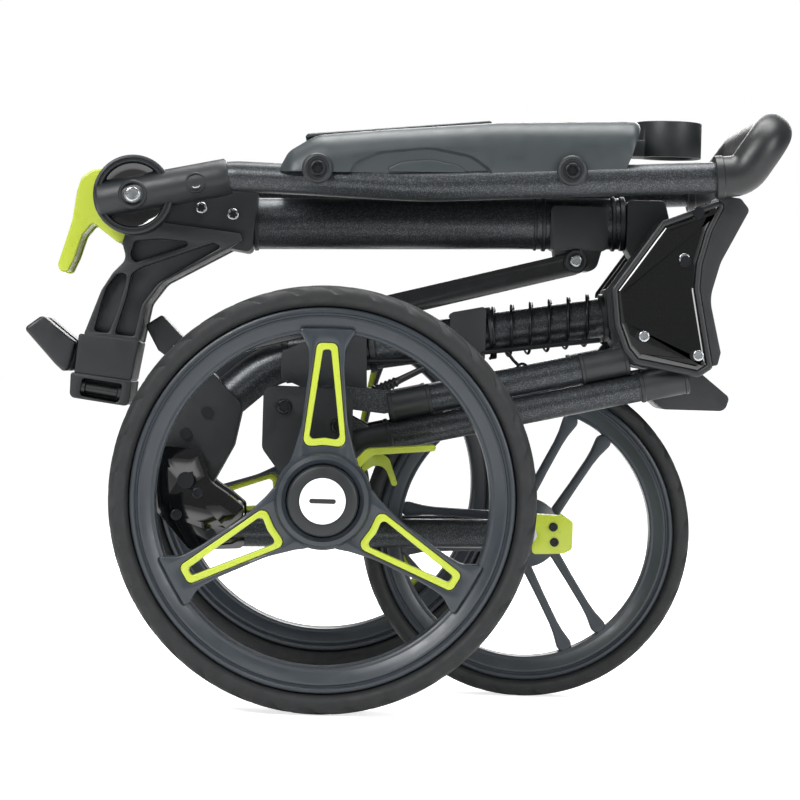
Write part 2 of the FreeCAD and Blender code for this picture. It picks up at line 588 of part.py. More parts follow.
def make_brake():
    """Foot pedal with a locking prong, on the near axle bracket."""
    pivot = PEDAL_PIN
    pedal = [moved(pivot, -5, -3) + (3,), moved(pivot, 12, 16) + (10,), moved(pivot, 56, 20) + (1.5,),
             moved(pivot, 57, 24) + (1.5,), moved(pivot, 8, 20) + (8,), moved(pivot, -6, 4) + (3,)]
    body = prism(pedal, *span(79, 38, NEAR)).cut(bar(pivot, 3.0 + size("running_gap"), -130, 130))
    leg = prism([moved(pivot, 4, 2) + (1,), moved(pivot, 20, 12) + (8,), moved(pivot, 27, -6) + (2,),
                 moved(pivot, 31, -5) + (2,), moved(pivot, 23, 17.6) + (8,), moved(pivot, 8, 14) + (1,)],
                *span(90, 12, NEAR))
    feature("brake_pedal", body.fuse(leg).cut(bar(pivot, 3.05, -130, 130)).removeSplitter())


# ---- wheels ----------------------------------------------------------------------------------------
def ring(centre, middle, width, outer, inner, round_over):
    """Raw solid: a ring round a wheel's axis with its outer edges rounded."""
    low = middle - width / 2
    tool = bar(centre, outer, low, low + width)
    rims = [e for e in tool.Edges if e.Length > outer and abs(e.BoundBox.YLength) < 1e-6]
    tool = tool.makeFillet(round_over, rims)
    return tool.cut(bar(centre, inner, low - 1, low + width + 1))


def spoke(centre, degrees, inner, outer, half_in, half_out, low, high):
    """Raw solid: one tapered spoke."""
    a = math.radians(degrees)
    u, w = (math.cos(a), math.sin(a)), (-math.sin(a), math.cos(a))

    def place(along, across):
        return (centre[0] + u[0] * along + w[0] * across, centre[1] + u[1] * along + w[1] * across)
    return prism([place(inner, -half_in), place(outer, -half_out), place(outer, half_out),
                  place(inner, half_in)], low, high)


def make_rear_wheel(side, name):
    """Tyre, three-spoke rim with a window in each spoke, lime window frames and hub cap."""
    middle, width = side * size("track_half"), size("rear_tyre_width")
    rim_out = REAR_R - size("tyre_depth")
    rim_in = rim_out - size("rim_depth")
    feature("rear_tyre_" + name, ring(REAR_AXLE, middle, width, REAR_R, rim_out, 10.0))
    rim_half = width / 2 - size("rim_width_gap")
    low, high = middle - rim_half, middle + rim_half
    rim = ring(REAR_AXLE, middle, 2 * rim_half, rim_out, rim_in, 0.5)
    rim = rim.fuse(bar(REAR_AXLE, size("rear_hub_radius"), low, high))
    face = size("spoke_depth")
    outer_low, outer_high = (high - face - 3, high - 3) if side == FAR else (low + 3, low + 3 + face)
    frame_in, frame_out, stroke = size("rear_hub_radius") + 8, rim_in - 7, 4.4
    frames = []
    for a in [size(name + "_wheel_turn") + turn for turn in (0, 120, 240)]:
        rim = rim.fuse(spoke(REAR_AXLE, a, 20, rim_in + 2, 22, 12, outer_low, outer_high))
    for a in [size(name + "_wheel_turn") + turn for turn in (0, 120, 240)]:
        rim = rim.cut(spoke(REAR_AXLE, a, frame_in, frame_out, 15, 7, outer_low - 5, outer_high + 5))
        insert = spoke(REAR_AXLE, a, frame_in, frame_out, 15, 7, outer_low, outer_high)
        frames.append(insert.cut(spoke(REAR_AXLE, a, frame_in + stroke, frame_out - stroke, 15 - stroke,
                                       7 - stroke, outer_low - 5, outer_high + 5)))
    rim = rim.cut(bar(REAR_AXLE, size("axle_radius") + size("running_gap"), -300, 300))
    feature("rear_rim_" + name, rim.removeSplitter())
    group("spoke_frames_" + name, frames)
    tip = side * (size("track_half") + 24)
    cap_low, cap_high = sorted((tip, tip + side * 5))
    cap = bar(REAR_AXLE, size("rear_hub_radius") - 4, cap_low, cap_high)
    skirt = bar(REAR_AXLE, size("rear_hub_radius") - 4, *sorted((side * (abs(middle) + rim_half), tip)))
    skirt = skirt.cut(bar(REAR_AXLE, size("axle_radius") + 6, -300, 300))
    feature("hub_cap_" + name, cap.fuse(skirt).removeSplitter())


def make_front_wheel():
    """Tyre and the rim with three pairs of crossing ribs."""
    width = size("front_tyre_width")
    rim_out = FRONT_R - size("tyre_depth") + 3
    rim_in = rim_out - size("rim_depth")
    feature("front_tyre", ring(FRONT_AXLE, 0, width, FRONT_R, rim_out, 9.0))
    half = width / 2 - size("rim_width_gap")
    rim = ring(FRONT_AXLE, 0, 2 * half, rim_out, rim_in, 0.5)
    hub = bar(FRONT_AXLE, size("front_hub_radius"), -half, half)
    a0 = 9.0
    for centre_angle in (60, 180, 300):
        for sign in (-1, 1):
            a = math.radians(centre_angle + sign * a0)
            start = polar(FRONT_AXLE, 12, centre_angle + sign * 60)
            end = polar(FRONT_AXLE, rim_in + 3, centre_angle + sign * a0)
            dx, dz = end[0] - start[0], end[1] - start[1]
            length = math.hypot(dx, dz)
            n = (-dz / length * 3.2, dx / length * 3.2)
            rib = prism([(start[0] - n[0], start[1] - n[1]), (end[0] - n[0], end[1] - n[1]),
                         (end[0] + n[0], end[1] + n[1]), (start[0] + n[0], start[1] + n[1])], -7, 7)
            hub = hub.fuse(rib)
    rim = rim.fuse(hub).cut(bar(FRONT_AXLE, size("axle_radius") + size("running_gap"), -60, 60))
    feature("front_rim", rim.removeSplitter())


# ---- build and write -------------------------------------------------------------------------------
def write_parts():
    doc.recompute()
    for obj in doc.Objects:
        if "Invalid" in obj.State or "Error" in obj.State:
            raise RuntimeError("%s failed: %s" % (obj.Label, obj.State))
    os.makedirs("parts", exist_ok=True)
    for obj in parts:
        shape = obj.Shape
        if shape.isNull() or not shape.isValid() or not shape.Solids:
            raise RuntimeError("%s has no valid solid" % obj.Label)
        shape.exportStep("parts/%s.step" % obj.Label)


make_main_hinge()
make_front_tube()
make_front_clamp()
make_upper_frame()
make_bag_bracket()
make_cam_lever()
make_handle()
make_console()
make_fork()
make_links()
make_rear_axle()
make_brake()
for wheel_side, wheel_name in ((NEAR, "near"), (FAR, "far")):
    make_rear_wheel(wheel_side, wheel_name)
make_front_wheel()
write_parts()
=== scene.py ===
"""Folding golf push trolley: the visible surfaces and finishes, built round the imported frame.

Laid out as an add-on and run as a script.  Every object is in metres in the frame's own axes:
+X towards the grip, +Y away from the near rear wheel, +Z up.  Outlines are written in
millimetres from the pivot that they belong to and are turned to metres when a mesh is made.
"""
import math

import bmesh
import bpy
import numpy as np
from mathutils import Matrix, Vector
from mathutils.geometry import tessellate_polygon


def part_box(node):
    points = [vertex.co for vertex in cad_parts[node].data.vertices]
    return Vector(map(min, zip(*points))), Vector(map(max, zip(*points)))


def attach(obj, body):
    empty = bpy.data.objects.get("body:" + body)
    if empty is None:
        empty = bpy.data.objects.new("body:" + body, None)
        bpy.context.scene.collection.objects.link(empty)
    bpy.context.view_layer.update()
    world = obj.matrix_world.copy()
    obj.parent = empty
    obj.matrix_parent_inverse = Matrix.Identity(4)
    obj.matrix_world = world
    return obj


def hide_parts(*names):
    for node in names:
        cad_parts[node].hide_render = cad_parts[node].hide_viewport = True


bl_info = {
    "name": "Folding Golf Trolley",
    "version": (1, 0, 0),
    "blender": (4, 5, 0),
    "location": "View3D > Sidebar > Trolley",
    "description": "Builds the visible surfaces of a folding golf push trolley round its frame",
    "category": "Add Mesh",
}

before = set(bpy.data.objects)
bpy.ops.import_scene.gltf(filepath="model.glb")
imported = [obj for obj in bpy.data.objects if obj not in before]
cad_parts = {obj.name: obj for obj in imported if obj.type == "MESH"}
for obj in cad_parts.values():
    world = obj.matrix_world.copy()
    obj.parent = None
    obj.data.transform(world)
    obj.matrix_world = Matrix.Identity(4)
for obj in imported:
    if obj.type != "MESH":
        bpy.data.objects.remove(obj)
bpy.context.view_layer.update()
MM = 0.001
TAU = math.tau
NEAR, FAR = -1, 1
HANDS = ((NEAR, "near"), (FAR, "far"))


# ---- where things are --------------------------------------------------------------------------
def low_high(node):
    """Lowest and highest corner of a node, in millimetres."""
    low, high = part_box(node)
    return low / MM, high / MM


def pivot(node):
    """Centre of a pin or wheel in the XZ plane, in millimetres."""
    low, high = low_high(node)
    return ((low.x + high.x) / 2, (low.z + high.z) / 2)


MAIN, HANDLE, FORK = pivot("main_pin"), pivot("handle_pin"), pivot("fork_pin")
FRONT_AXLE, REAR_AXLE = pivot("front_axle"), pivot("rear_axles")
TOP = HANDLE[1]
REAR_R = (low_high("rear_tyre_near")[1].z - low_high("rear_tyre_near")[0].z) / 2
FRONT_R = (low_high("front_tyre")[1].z - low_high("front_tyre")[0].z) / 2
REAR_MIDDLE = (low_high("rear_tyre_far")[1].y + low_high("rear_tyre_far")[0].y) / 2
REAR_WIDTH = low_high("rear_tyre_far")[1].y - low_high("rear_tyre_far")[0].y
FRONT_WIDTH = low_high("front_tyre")[1].y - low_high("front_tyre")[0].y
REAR_RIM_R = (low_high("rear_rim_near")[1].z - low_high("rear_rim_near")[0].z) / 2
FRONT_RIM_R = (low_high("front_rim")[1].z - low_high("front_rim")[0].z) / 2
COVER_OUT = low_high("hinge_cover_far")[1].y
FRONT_TUBE_START = (MAIN[0] - 43, MAIN[1] - 14)
FRONT_TUBE_KNEE = (MAIN[0] - 281, MAIN[1] - 53.5)
FRONT_TUBE_SLOPE = ((FRONT_TUBE_START[1] - FRONT_TUBE_KNEE[1]) / (FRONT_TUBE_START[0] - FRONT_TUBE_KNEE[0]))
CLAMP = (MAIN[0] - 339, MAIN[1] - 100)
BRACE_PIN = (HANDLE[0] + 320, HANDLE[1] - 36)
SLEEVE_SCREW = (HANDLE[0] + 44.5, HANDLE[1] + 9.6)
CONSOLE_BOLTS = ((-64, TOP + 20.5), (114.5, TOP + 24))
RIM_DEPTH = 17.0
HANDLE_TUBE_R = 11.0
WHEEL_TURN = {NEAR: 90.0, FAR: 72.0}                        # degrees that each rear wheel stands at
LINK_SLOPE, LINK_MIDDLE, LINK_OFFSET = math.radians(12.85), 61.0, 15.0

# finish and slot of the commoner pieces
NYLON = ("glass_filled_nylon", "slate_plastic")
CONSOLE = ("moulded_abs", "console_plastic")
LIME = ("lime_abs", "lime_plastic")
RIM = ("moulded_polypropylene", "rim_plastic")
RUBBER = ("soft_rubber", "grip_rubber")
LACQUER = ("black_gloss_lacquer", "gloss_cover")


def on_front_tube(along):
    """Height of the front tube's middle line at a given X."""
    return FRONT_TUBE_START[1] + (along - FRONT_TUBE_START[0]) * FRONT_TUBE_SLOPE


# ---- sizes and colours a user would change -----------------------------------------------------
def linear(code):
    """Linear RGB of an sRGB hex colour such as 'C6D93F'."""
    values = [int(code[i:i + 2], 16) / 255 for i in (0, 2, 4)]
    return tuple(v / 12.92 if v <= 0.04045 else ((v + 0.055) / 1.055) ** 2.4 for v in values)


def colour(name, code, description):
    return bpy.props.FloatVectorProperty(name=name, description=description, subtype="COLOR", size=3,
                                         min=0.0, max=1.0, default=linear(code))


def length(name, millimetres, description):
    return bpy.props.FloatProperty(name=name, description=description, subtype="DISTANCE",
                                   unit="LENGTH", min=0.0, default=millimetres * MM)


class TrolleyColours(bpy.types.PropertyGroup):
    """Colours of the trolley's finishes"""
    graphite: colour("Tube graphite", "222528", "Powder coat on the frame, link and handle tubes")
    fleck: colour("Tube fleck", "6E7479", "Metal flakes in the tubes' powder coat")
    lacquer: colour("Panel black", "050607", "Gloss lacquer on the main hinge panels")
    slate: colour("Bracket slate", "15191C", "Glass-filled nylon of the brackets")
    console: colour("Console grey", "2D3436", "Moulded shell of the console")
    rim: colour("Rim slate", "2A3036", "Wheel rims and spokes")
    lime: colour("Lime", "AAB838", "Levers, pedal, axle clamps and spoke frames")
    tyre: colour("Tyre black", "0F1113", "Foam-filled tyres")
    grip: colour("Grip black", "131517", "Soft rubber of the grip")
    badge: colour("Hub disc", "EDEFEF", "Printed disc on the hub caps")


class TrolleySizes(bpy.types.PropertyGroup):
    """Sizes of the details that the frame leaves open"""
    edge: length("Moulded edge", 0.9, "Rounding on the brackets' edges")
    bead: length("Panel bead", 4.2, "Width of the matt bead round the gloss panels")
    groove_depth: length("Tread depth", 2.2, "Depth of the grooves in the tyres")
    wire: length("Spring wire", 2.3, "Thickness of the spring's wire")
    screw: length("Screw head", 8.0, "Diameter of the small screw heads")
    grooves: bpy.props.IntProperty(name="Tread grooves", default=34, min=4, max=90,
                                   description="Grooves round each half of a rear tyre")
    turns: bpy.props.IntProperty(name="Spring turns", default=6, min=2, max=20,
                                 description="Turns of the spring on the front tube")


def sizes():
    return bpy.context.scene.trolley_sizes


# ---- outlines in the XZ plane ------------------------------------------------------------------
def outline(points, origin=(0.0, 0.0), step=0.9):
    """Closed anticlockwise outline, in mm from a pivot; a third number rounds that corner."""
    spots = [np.array((p[0] + origin[0], p[1] + origin[1]), float) for p in points]
    ring = []
    for i, here in enumerate(spots):
        before, after = spots[i - 1] - here, spots[(i + 1) % len(spots)] - here
        reach_most = 0.49 * min(np.linalg.norm(before), np.linalg.norm(after))
        a, b = before / np.linalg.norm(before), after / np.linalg.norm(after)
        half = math.acos(max(-1.0, min(1.0, float(a @ b)))) / 2
        wanted = points[i][2] if len(points[i]) > 2 else 0.5
        if half > math.radians(88.5):
            ring.append(here)
            continue
        reach = min(wanted / math.tan(half), reach_most)
        radius = reach * math.tan(half)
        middle = here + (a + b) / np.linalg.norm(a + b) * radius / math.sin(half)
        start, end = here + a * reach - middle, here + b * reach - middle
        first = math.atan2(start[1], start[0])
        sweep = (math.atan2(end[1], end[0]) - first + math.pi) % TAU - math.pi
        count = max(2, math.ceil(abs(sweep) * radius / step), math.ceil(abs(sweep) / 0.3))
        for t in np.linspace(first, first + sweep, count + 1):
            ring.append(middle + radius * np.array((math.cos(t), math.sin(t))))
    ring = np.array(ring)
    x, z = ring[:, 0], ring[:, 1]
    area = np.sum(x * np.roll(z, -1) - np.roll(x, -1) * z)
    return ring if area > 0 else ring[::-1]


def inset(ring, distance):
    """The outline moved inwards."""
    if not distance:
        return ring
    ahead = np.roll(ring, -1, axis=0) - ring
    ahead /= np.maximum(np.linalg.norm(ahead, axis=1, keepdims=True), 1e-9)
    behind = np.roll(ahead, 1, axis=0)
    inward = np.stack((-(ahead + behind)[:, 1], (ahead + behind)[:, 0]), axis=1)
    size_squared = np.maximum(np.sum(inward * inward, axis=1, keepdims=True), 1.0)
    return ring + inward * (2.0 / size_squared) * distance


def resample(ring, count, start):
    """The outline as evenly spaced points, the first one nearest to a given point."""
    first = int(np.argmin(np.linalg.norm(ring - np.array(start), axis=1)))
    loop = np.roll(ring, -first, axis=0)
    loop = np.vstack((loop, loop[:1]))
    along = np.concatenate(([0], np.cumsum(np.linalg.norm(np.diff(loop, axis=0), axis=1))))
    at = np.linspace(0, along[-1], count, endpoint=False)
    return np.stack((np.interp(at, along, loop[:, 0]), np.interp(at, along, loop[:, 1])), axis=1)


def polar(centre, radius, degrees):
    turn = math.radians(degrees)
    return (centre[0] + radius * math.cos(turn), centre[1] + radius * math.sin(turn))


# ---- meshes ------------------------------------------------------------------------------------
def new_object(name, mesh):
    obj = bpy.data.objects.new(name, mesh)
    bpy.context.scene.collection.objects.link(obj)
    return obj


def evaluated(helper, *others):
    """The mesh that a helper object's modifiers leave; the helpers are then removed."""
    made = bpy.data.meshes.new_from_object(helper.evaluated_get(bpy.context.evaluated_depsgraph_get()))
    for obj in (helper, *others):
        bpy.data.objects.remove(obj)
    return made


SIDEWAYS = 0.99999                     # a face whose normal's Y passes this faces sideways


def clean(mesh, sharp=35.0, flat_ends=True):
    """Merges doubles, points the faces outwards and keeps only real corners sharp and flat ends flat."""
    work = bmesh.new()
    work.from_mesh(mesh)
    bmesh.ops.remove_doubles(work, verts=work.verts, dist=1e-6)
    bmesh.ops.dissolve_degenerate(work, edges=work.edges, dist=1e-7)
    ends = bmesh.ops.triangulate(work, faces=[f for f in work.faces if len(f.verts) > 4])["faces"]
    bmesh.ops.recalc_face_normals(work, faces=work.faces)
    work.normal_update()
    work.faces.index_update()
    flat = [f.index for f in work.faces if abs(f.normal.y) > SIDEWAYS] + [f.index for f in ends if flat_ends]
    work.to_mesh(mesh)
    work.free()
    mesh.shade_smooth()
    for i in flat:
        mesh.polygons[i].use_smooth = False
    mesh.set_sharp_from_angle(angle=math.radians(sharp))
    return mesh


def crowned(name, ring, half, radius, steps=9):
    """Long body of one side outline whose upper edges roll down towards both sides."""
    turn = [i * math.pi / 2 / steps for i in range(steps + 1)]
    levels = [(radius * (1 - math.sin(t)), half - radius * (1 - math.cos(t))) for t in turn]
    levels = [(d, -y) for d, y in levels] + [(d, y) for d, y in reversed(levels)]
    middle, rings = ring[:, 0].mean(), []
    for drop, y in levels:
        lower = flat_ring(ring, y)
        lower[:, 2] -= np.where(ring[:, 1] > TOP, drop, 0.0)
        lower[:, 0] -= np.clip((ring[:, 0] - middle) / 90, -1, 1) ** 3 * 0.35 * drop
        rings.append(lower)
    return stacked(name, rings, False)


def stacked(name, rings, closed):
    """Mesh through rings of equal length; closed joins the last ring to the first, else both
    ends are capped.  Rings are arrays of (x, y, z) in mm."""
    count = len(rings[0])
    verts = [tuple(p * MM) for ring in rings for p in ring]
    faces = []
    for i in range(len(rings) if closed else len(rings) - 1):
        j = (i + 1) % len(rings)
        for k in range(count):
            m = (k + 1) % count
            faces.append((i * count + k, i * count + m, j * count + m, j * count + k))
    if not closed:
        faces.append(tuple(range(count))[::-1])
        faces.append(tuple((len(rings) - 1) * count + k for k in range(count)))
    mesh = bpy.data.meshes.new(name)
    mesh.from_pydata(verts, [], faces)
    return clean(mesh)


def flat_ring(ring, y):
    return np.stack((ring[:, 0], np.full(len(ring), float(y)), ring[:, 1]), axis=1)


def slab(name, ring, levels, side=FAR):
    """Plate whose outline steps inwards by each level's first number at its Y, the second."""
    return stacked(name, [flat_ring(inset(ring, d), side * y) for d, y in levels], False)


def between(side, near, far):
    """Lower and higher Y of a piece that reaches from one distance off the middle to another."""
    return sorted((side * near, side * far))


def rounded(low, high, radius, steps=4):
    """Levels of a plate between two Y values with both edges rounded."""
    turn = [i * math.pi / 2 / steps for i in range(steps + 1)]
    first = [(radius * (1 - math.sin(t)), low + radius * (1 - math.cos(t))) for t in turn]
    return first + [(d, high - (y - low)) for d, y in reversed(first)]


def block(points, origin, low, high, radius, steps=4):
    """Plate of one outline between two Y values, both its edges rounded."""
    return slab("block", outline(points, origin), rounded(low, high, radius, steps))


def framed(name, outer, inners, low, high, edge):
    """Plate with holes, all its edges rounded."""
    steps = [(edge, low), (0.3 * edge, low + 0.3 * edge), (0, low + edge), (0, high - edge),
             (0.3 * edge, high - 0.3 * edge), (edge, high)]
    verts, faces, ends = [], [], []
    for ring, way in [(outer, 1)] + [(inner, -1) for inner in inners]:
        count, start = len(ring), len(verts)
        for distance, y in steps:
            verts += [tuple(p * MM) for p in flat_ring(inset(ring, way * distance), y)]
        for i in range(len(steps) - 1):
            for k in range(count):
                m = (k + 1) % count
                a, b = start + i * count, start + (i + 1) * count
                faces.append((a + k, a + m, b + m, b + k))
        ends.append((list(range(start, start + count)),
                     list(range(start + (len(steps) - 1) * count, start + len(steps) * count))))
    for which in (0, 1):
        order = [i for end in ends for i in end[which]]
        loops = [[Vector((verts[i][0], verts[i][2], 0)) for i in end[which]] for end in ends]
        faces += [tuple(order[i] for i in tri) for tri in tessellate_polygon(loops)]
    mesh = bpy.data.meshes.new(name)
    mesh.from_pydata(verts, [], faces)
    return clean(mesh)


def lathe(name, profile, centre, steps=128, side=FAR):
    """Closed ring round a Y axis from a closed (radius, y) profile in mm, or its mirror image."""
    turn = np.linspace(0, TAU, steps, endpoint=False)
    rings = []
    for radius, y in profile:
        rings.append(np.stack((centre[0] + radius * np.cos(turn), np.full(steps, float(side * y)),
                               centre[1] + radius * np.sin(turn)), axis=1))
    return stacked(name, rings, True)


def swept(name, points, radius):
    """Round rod through (x, y, z) points in mm, with closed ends."""
    curve = bpy.data.curves.new(name + "_line", "CURVE")
    curve.dimensions = "3D"
    spline = curve.splines.new("BEZIER")
    spline.bezier_points.add(len(points) - 1)
    for knot, spot in zip(spline.bezier_points, points):
        knot.co = Vector(spot) * MM
        knot.handle_left_type = knot.handle_right_type = "AUTO"
    curve.bevel_depth, curve.bevel_resolution = radius * MM, 4
    curve.use_fill_caps, curve.resolution_u = True, 8
    mesh = evaluated(new_object(name + "_line", curve))
    bpy.data.curves.remove(curve)
    return clean(mesh)


def joined(name, meshes):
    """Several meshes as one, each shell kept whole."""
    work = bmesh.new()
    for mesh in meshes:
        work.from_mesh(mesh)
    whole = bpy.data.meshes.new(name)
    work.to_mesh(whole)
    work.free()
    whole.shade_smooth()
    whole.set_sharp_from_angle(angle=math.radians(35))
    return whole


def settle(name, made, body, finish, slot, *nodes):
    """Gives a mesh, or several as one, its object, material and body, and the nodes it stands for; the slot
    is not used.
    """
    mesh = joined(name, made) if isinstance(made, list) else made
    obj = new_object(name, mesh)
    mesh.materials.clear()
    mesh.materials.append(bpy.data.materials[finish])
    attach(obj, body)
    if nodes:
        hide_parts(*nodes)
    return obj


def soften(node, width, body, finish, slot, segments=3):
    """A moulded copy of a node: flats joined up and every hard edge rounded."""
    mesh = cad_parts[node].data.copy()
    work = bmesh.new()
    work.from_mesh(mesh)
    bmesh.ops.remove_doubles(work, verts=work.verts, dist=2e-5)
    bmesh.ops.dissolve_limit(work, angle_limit=math.radians(1.0), verts=work.verts, edges=work.edges)
    work.to_mesh(mesh)
    work.free()
    helper = new_object(node + "_soft", mesh)
    bevel = helper.modifiers.new("edges", "BEVEL")
    bevel.width, bevel.segments, bevel.limit_method = width * MM, segments, "ANGLE"
    bevel.angle_limit, bevel.use_clamp_overlap = math.radians(32), True
    bevel.miter_outer = "MITER_ARC"
    return settle(node + "_moulded", clean(evaluated(helper), 40), body, finish, slot, node)


def carve(mesh, cutters, width=0.0):
    """A closed mesh with other closed meshes cut out of it, its new edges rounded."""
    helper = new_object("carved", mesh)
    tools = [new_object("cutter", cutter) for cutter in cutters]
    for tool in tools:
        cut = helper.modifiers.new("cut", "BOOLEAN")
        cut.operation, cut.solver, cut.object = "DIFFERENCE", "EXACT", tool
    if width:
        bevel = helper.modifiers.new("edges", "BEVEL")
        bevel.width, bevel.segments, bevel.limit_method = width * MM, 3, "ANGLE"
        bevel.angle_limit = math.radians(40)
    return clean(evaluated(helper, *tools), 35, False)


def finish_node(node, finish):
    """Gives a node that is shown as it is its material."""
    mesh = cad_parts[node].data
    mesh.materials.clear()
    mesh.materials.append(bpy.data.materials[finish])


# ---- node trees --------------------------------------------------------------------------------
def add_node(tree, kind, values=None, **settings):
    """Adds a node: settings are its properties, values its sockets, linked where they can be."""
    node = tree.nodes.new(kind)
    for name, value in settings.items():
        setattr(node, name, value)
    for key, value in (values or {}).items():
        if isinstance(value, bpy.types.NodeSocket):
            tree.links.new(value, node.inputs[key])
        else:
            node.inputs[key].default_value = value
    return node


def maths(tree, values, rows):
    """Adds a chain of sums; each row is (result, operation, term, ...), terms named or numbers."""
    for result, operation, *terms in rows:
        sockets = {i: values.get(t, t) if isinstance(t, str) else t for i, t in enumerate(terms)}
        values[result] = add_node(tree, "ShaderNodeMath", sockets, operation=operation).outputs[0]
    return values


def geometry_tree(name, inputs):
    """Empty geometry tree with named inputs and one Geometry output."""
    tree = bpy.data.node_groups.new(name, "GeometryNodeTree")
    tree.interface.new_socket("Geometry", in_out="INPUT", socket_type="NodeSocketGeometry")
    for label, kind in inputs:
        tree.interface.new_socket(label, in_out="INPUT", socket_type="NodeSocket" + kind)
    tree.interface.new_socket("Geometry", in_out="OUTPUT", socket_type="NodeSocketGeometry")
    return tree, add_node(tree, "NodeGroupInput").outputs


def close_tree(tree, geometry, finish):
    """Ends a geometry tree: instances made real, material set."""
    real = add_node(tree, "GeometryNodeRealizeInstances", {0: geometry})
    painted = add_node(tree, "GeometryNodeSetMaterial", {"Geometry": real.outputs[0], "Material": finish})
    add_node(tree, "NodeGroupOutput", {0: painted.outputs[0]})
    return tree


def grow(name, mesh, tree, values, sharp=35.0):
    """Runs a geometry tree on a mesh and gives the plain mesh that comes out."""
    helper = new_object(name + "_helper", mesh)
    modifier = helper.modifiers.new("grow", "NODES")
    modifier.node_group = tree
    sockets = {s.name: s.identifier for s in tree.interface.items_tree if s.in_out == "INPUT"}
    for label, value in values.items():
        modifier[sockets[label]] = value
    made = bpy.data.meshes.new_from_object(helper.evaluated_get(bpy.context.evaluated_depsgraph_get()))
    helper.modifiers.clear()
    bpy.data.objects.remove(helper)
    return clean(made, sharp)


TYRE_STEPS = (577, 57)                                      # points round the wheel and round the section


def tyre_tree():
    """Tyre: a ring of squarish section whose crown carries swept grooves on each half."""
    tree, given = geometry_tree("tyre", [
        ("Outer radius", "Float"), ("Seat radius", "Float"), ("Width", "Float"),
        ("Grooves", "Float"), ("Groove depth", "Float"), ("Centre", "Vector"), ("Material", "Material")])
    grid = add_node(tree, "GeometryNodeMeshGrid", {"Size X": 1.0, "Size Y": 1.0, "Vertices X": TYRE_STEPS[0],
                                                   "Vertices Y": TYRE_STEPS[1]})
    where = add_node(tree, "ShaderNodeSeparateXYZ",
                     {0: add_node(tree, "GeometryNodeInputPosition").outputs[0]}).outputs
    v = {"x": where[0], "y": where[1], "outer": given["Outer radius"], "seat": given["Seat radius"],
         "width": given["Width"], "grooves": given["Grooves"], "depth": given["Groove depth"]}
    maths(tree, v, [
        ("turn", "MULTIPLY", "x", TAU), ("round", "MULTIPLY", "y", TAU),
        ("c", "COSINE", "round"), ("s", "SINE", "round"),
        ("c_size", "ABSOLUTE", "c"), ("s_size", "ABSOLUTE", "s"),
        ("c_pow", "POWER", "c_size", 0.72), ("s_pow", "POWER", "s_size", 0.56),
        ("c_sign", "SIGN", "c"), ("s_sign", "SIGN", "s"),
        ("up", "MULTIPLY", "c_pow", "c_sign"), ("across", "MULTIPLY", "s_pow", "s_sign"),
        ("sum", "ADD", "outer", "seat"), ("middle", "MULTIPLY", "sum", 0.5),
        ("gap", "SUBTRACT", "outer", "seat"), ("half", "MULTIPLY", "gap", 0.5),
        ("lift", "MULTIPLY", "up", "half"), ("radius", "ADD", "middle", "lift"),
        ("half_width", "MULTIPLY", "width", 0.5), ("y_out", "MULTIPLY", "across", "half_width"),
        # the grooves sweep back as they near the shoulder, half a step apart on the two halves
        ("steps", "MULTIPLY", "turn", "grooves"), ("s_far", "POWER", "s_pow", 1.6),
        ("sweep", "MULTIPLY", "s_far", 6.5), ("slip", "MULTIPLY", "s_sign", 1.57),
        ("phase_a", "ADD", "steps", "sweep"), ("phase", "ADD", "phase_a", "slip"),
        ("wave", "COSINE", "phase")])
    for result, source, low, high in (("cut", "wave", 0.62, 0.86), ("crown", "c", 0.05, 0.3),
                                      ("off_middle", "s_pow", 0.1, 0.24)):
        v[result] = add_node(tree, "ShaderNodeMapRange", {0: v[source], 1: low, 2: high},
                             interpolation_type="SMOOTHSTEP").outputs[0]
    maths(tree, v, [
        ("mask", "MULTIPLY", "cut", "crown"), ("mask_b", "MULTIPLY", "mask", "off_middle"),
        ("dip", "MULTIPLY", "mask_b", "depth"), ("final", "SUBTRACT", "radius", "dip"),
        ("cos_t", "COSINE", "turn"), ("sin_t", "SINE", "turn"),
        ("px", "MULTIPLY", "final", "cos_t"), ("pz", "MULTIPLY", "final", "sin_t")])
    spot = add_node(tree, "ShaderNodeCombineXYZ", {0: v["px"], 1: v["y_out"], 2: v["pz"]}).outputs[0]
    spot = add_node(tree, "ShaderNodeVectorMath", {0: spot, 1: given["Centre"]}, operation="ADD").outputs[0]
    bent = add_node(tree, "GeometryNodeSetPosition", {"Geometry": grid.outputs[0], "Position": spot})
    whole = add_node(tree, "GeometryNodeMergeByDistance", {"Geometry": bent.outputs[0], "Distance": 1e-6})
    return close_tree(tree, whole.outputs[0], given["Material"])


def round_tree():
    """Copies of one piece turned evenly round a wheel's axle."""
    tree, given = geometry_tree("round_the_axle", [
        ("Count", "Int"), ("Start", "Float"), ("Centre", "Vector"), ("Material", "Material")])
    points = add_node(tree, "GeometryNodePoints", {"Count": given["Count"], "Position": given["Centre"]})
    v = {"index": add_node(tree, "GeometryNodeInputIndex").outputs[0],
         "count": given["Count"], "start": given["Start"]}
    maths(tree, v, [("whole", "MULTIPLY", "index", -TAU), ("step", "DIVIDE", "whole", "count"),
                    ("turn", "SUBTRACT", "step", "start")])
    turn = add_node(tree, "ShaderNodeCombineXYZ", {1: v["turn"]})
    copies = add_node(tree, "GeometryNodeInstanceOnPoints", {
        "Points": points.outputs[0], "Instance": given["Geometry"], "Rotation": turn.outputs[0]})
    return close_tree(tree, copies.outputs[0], given["Material"])


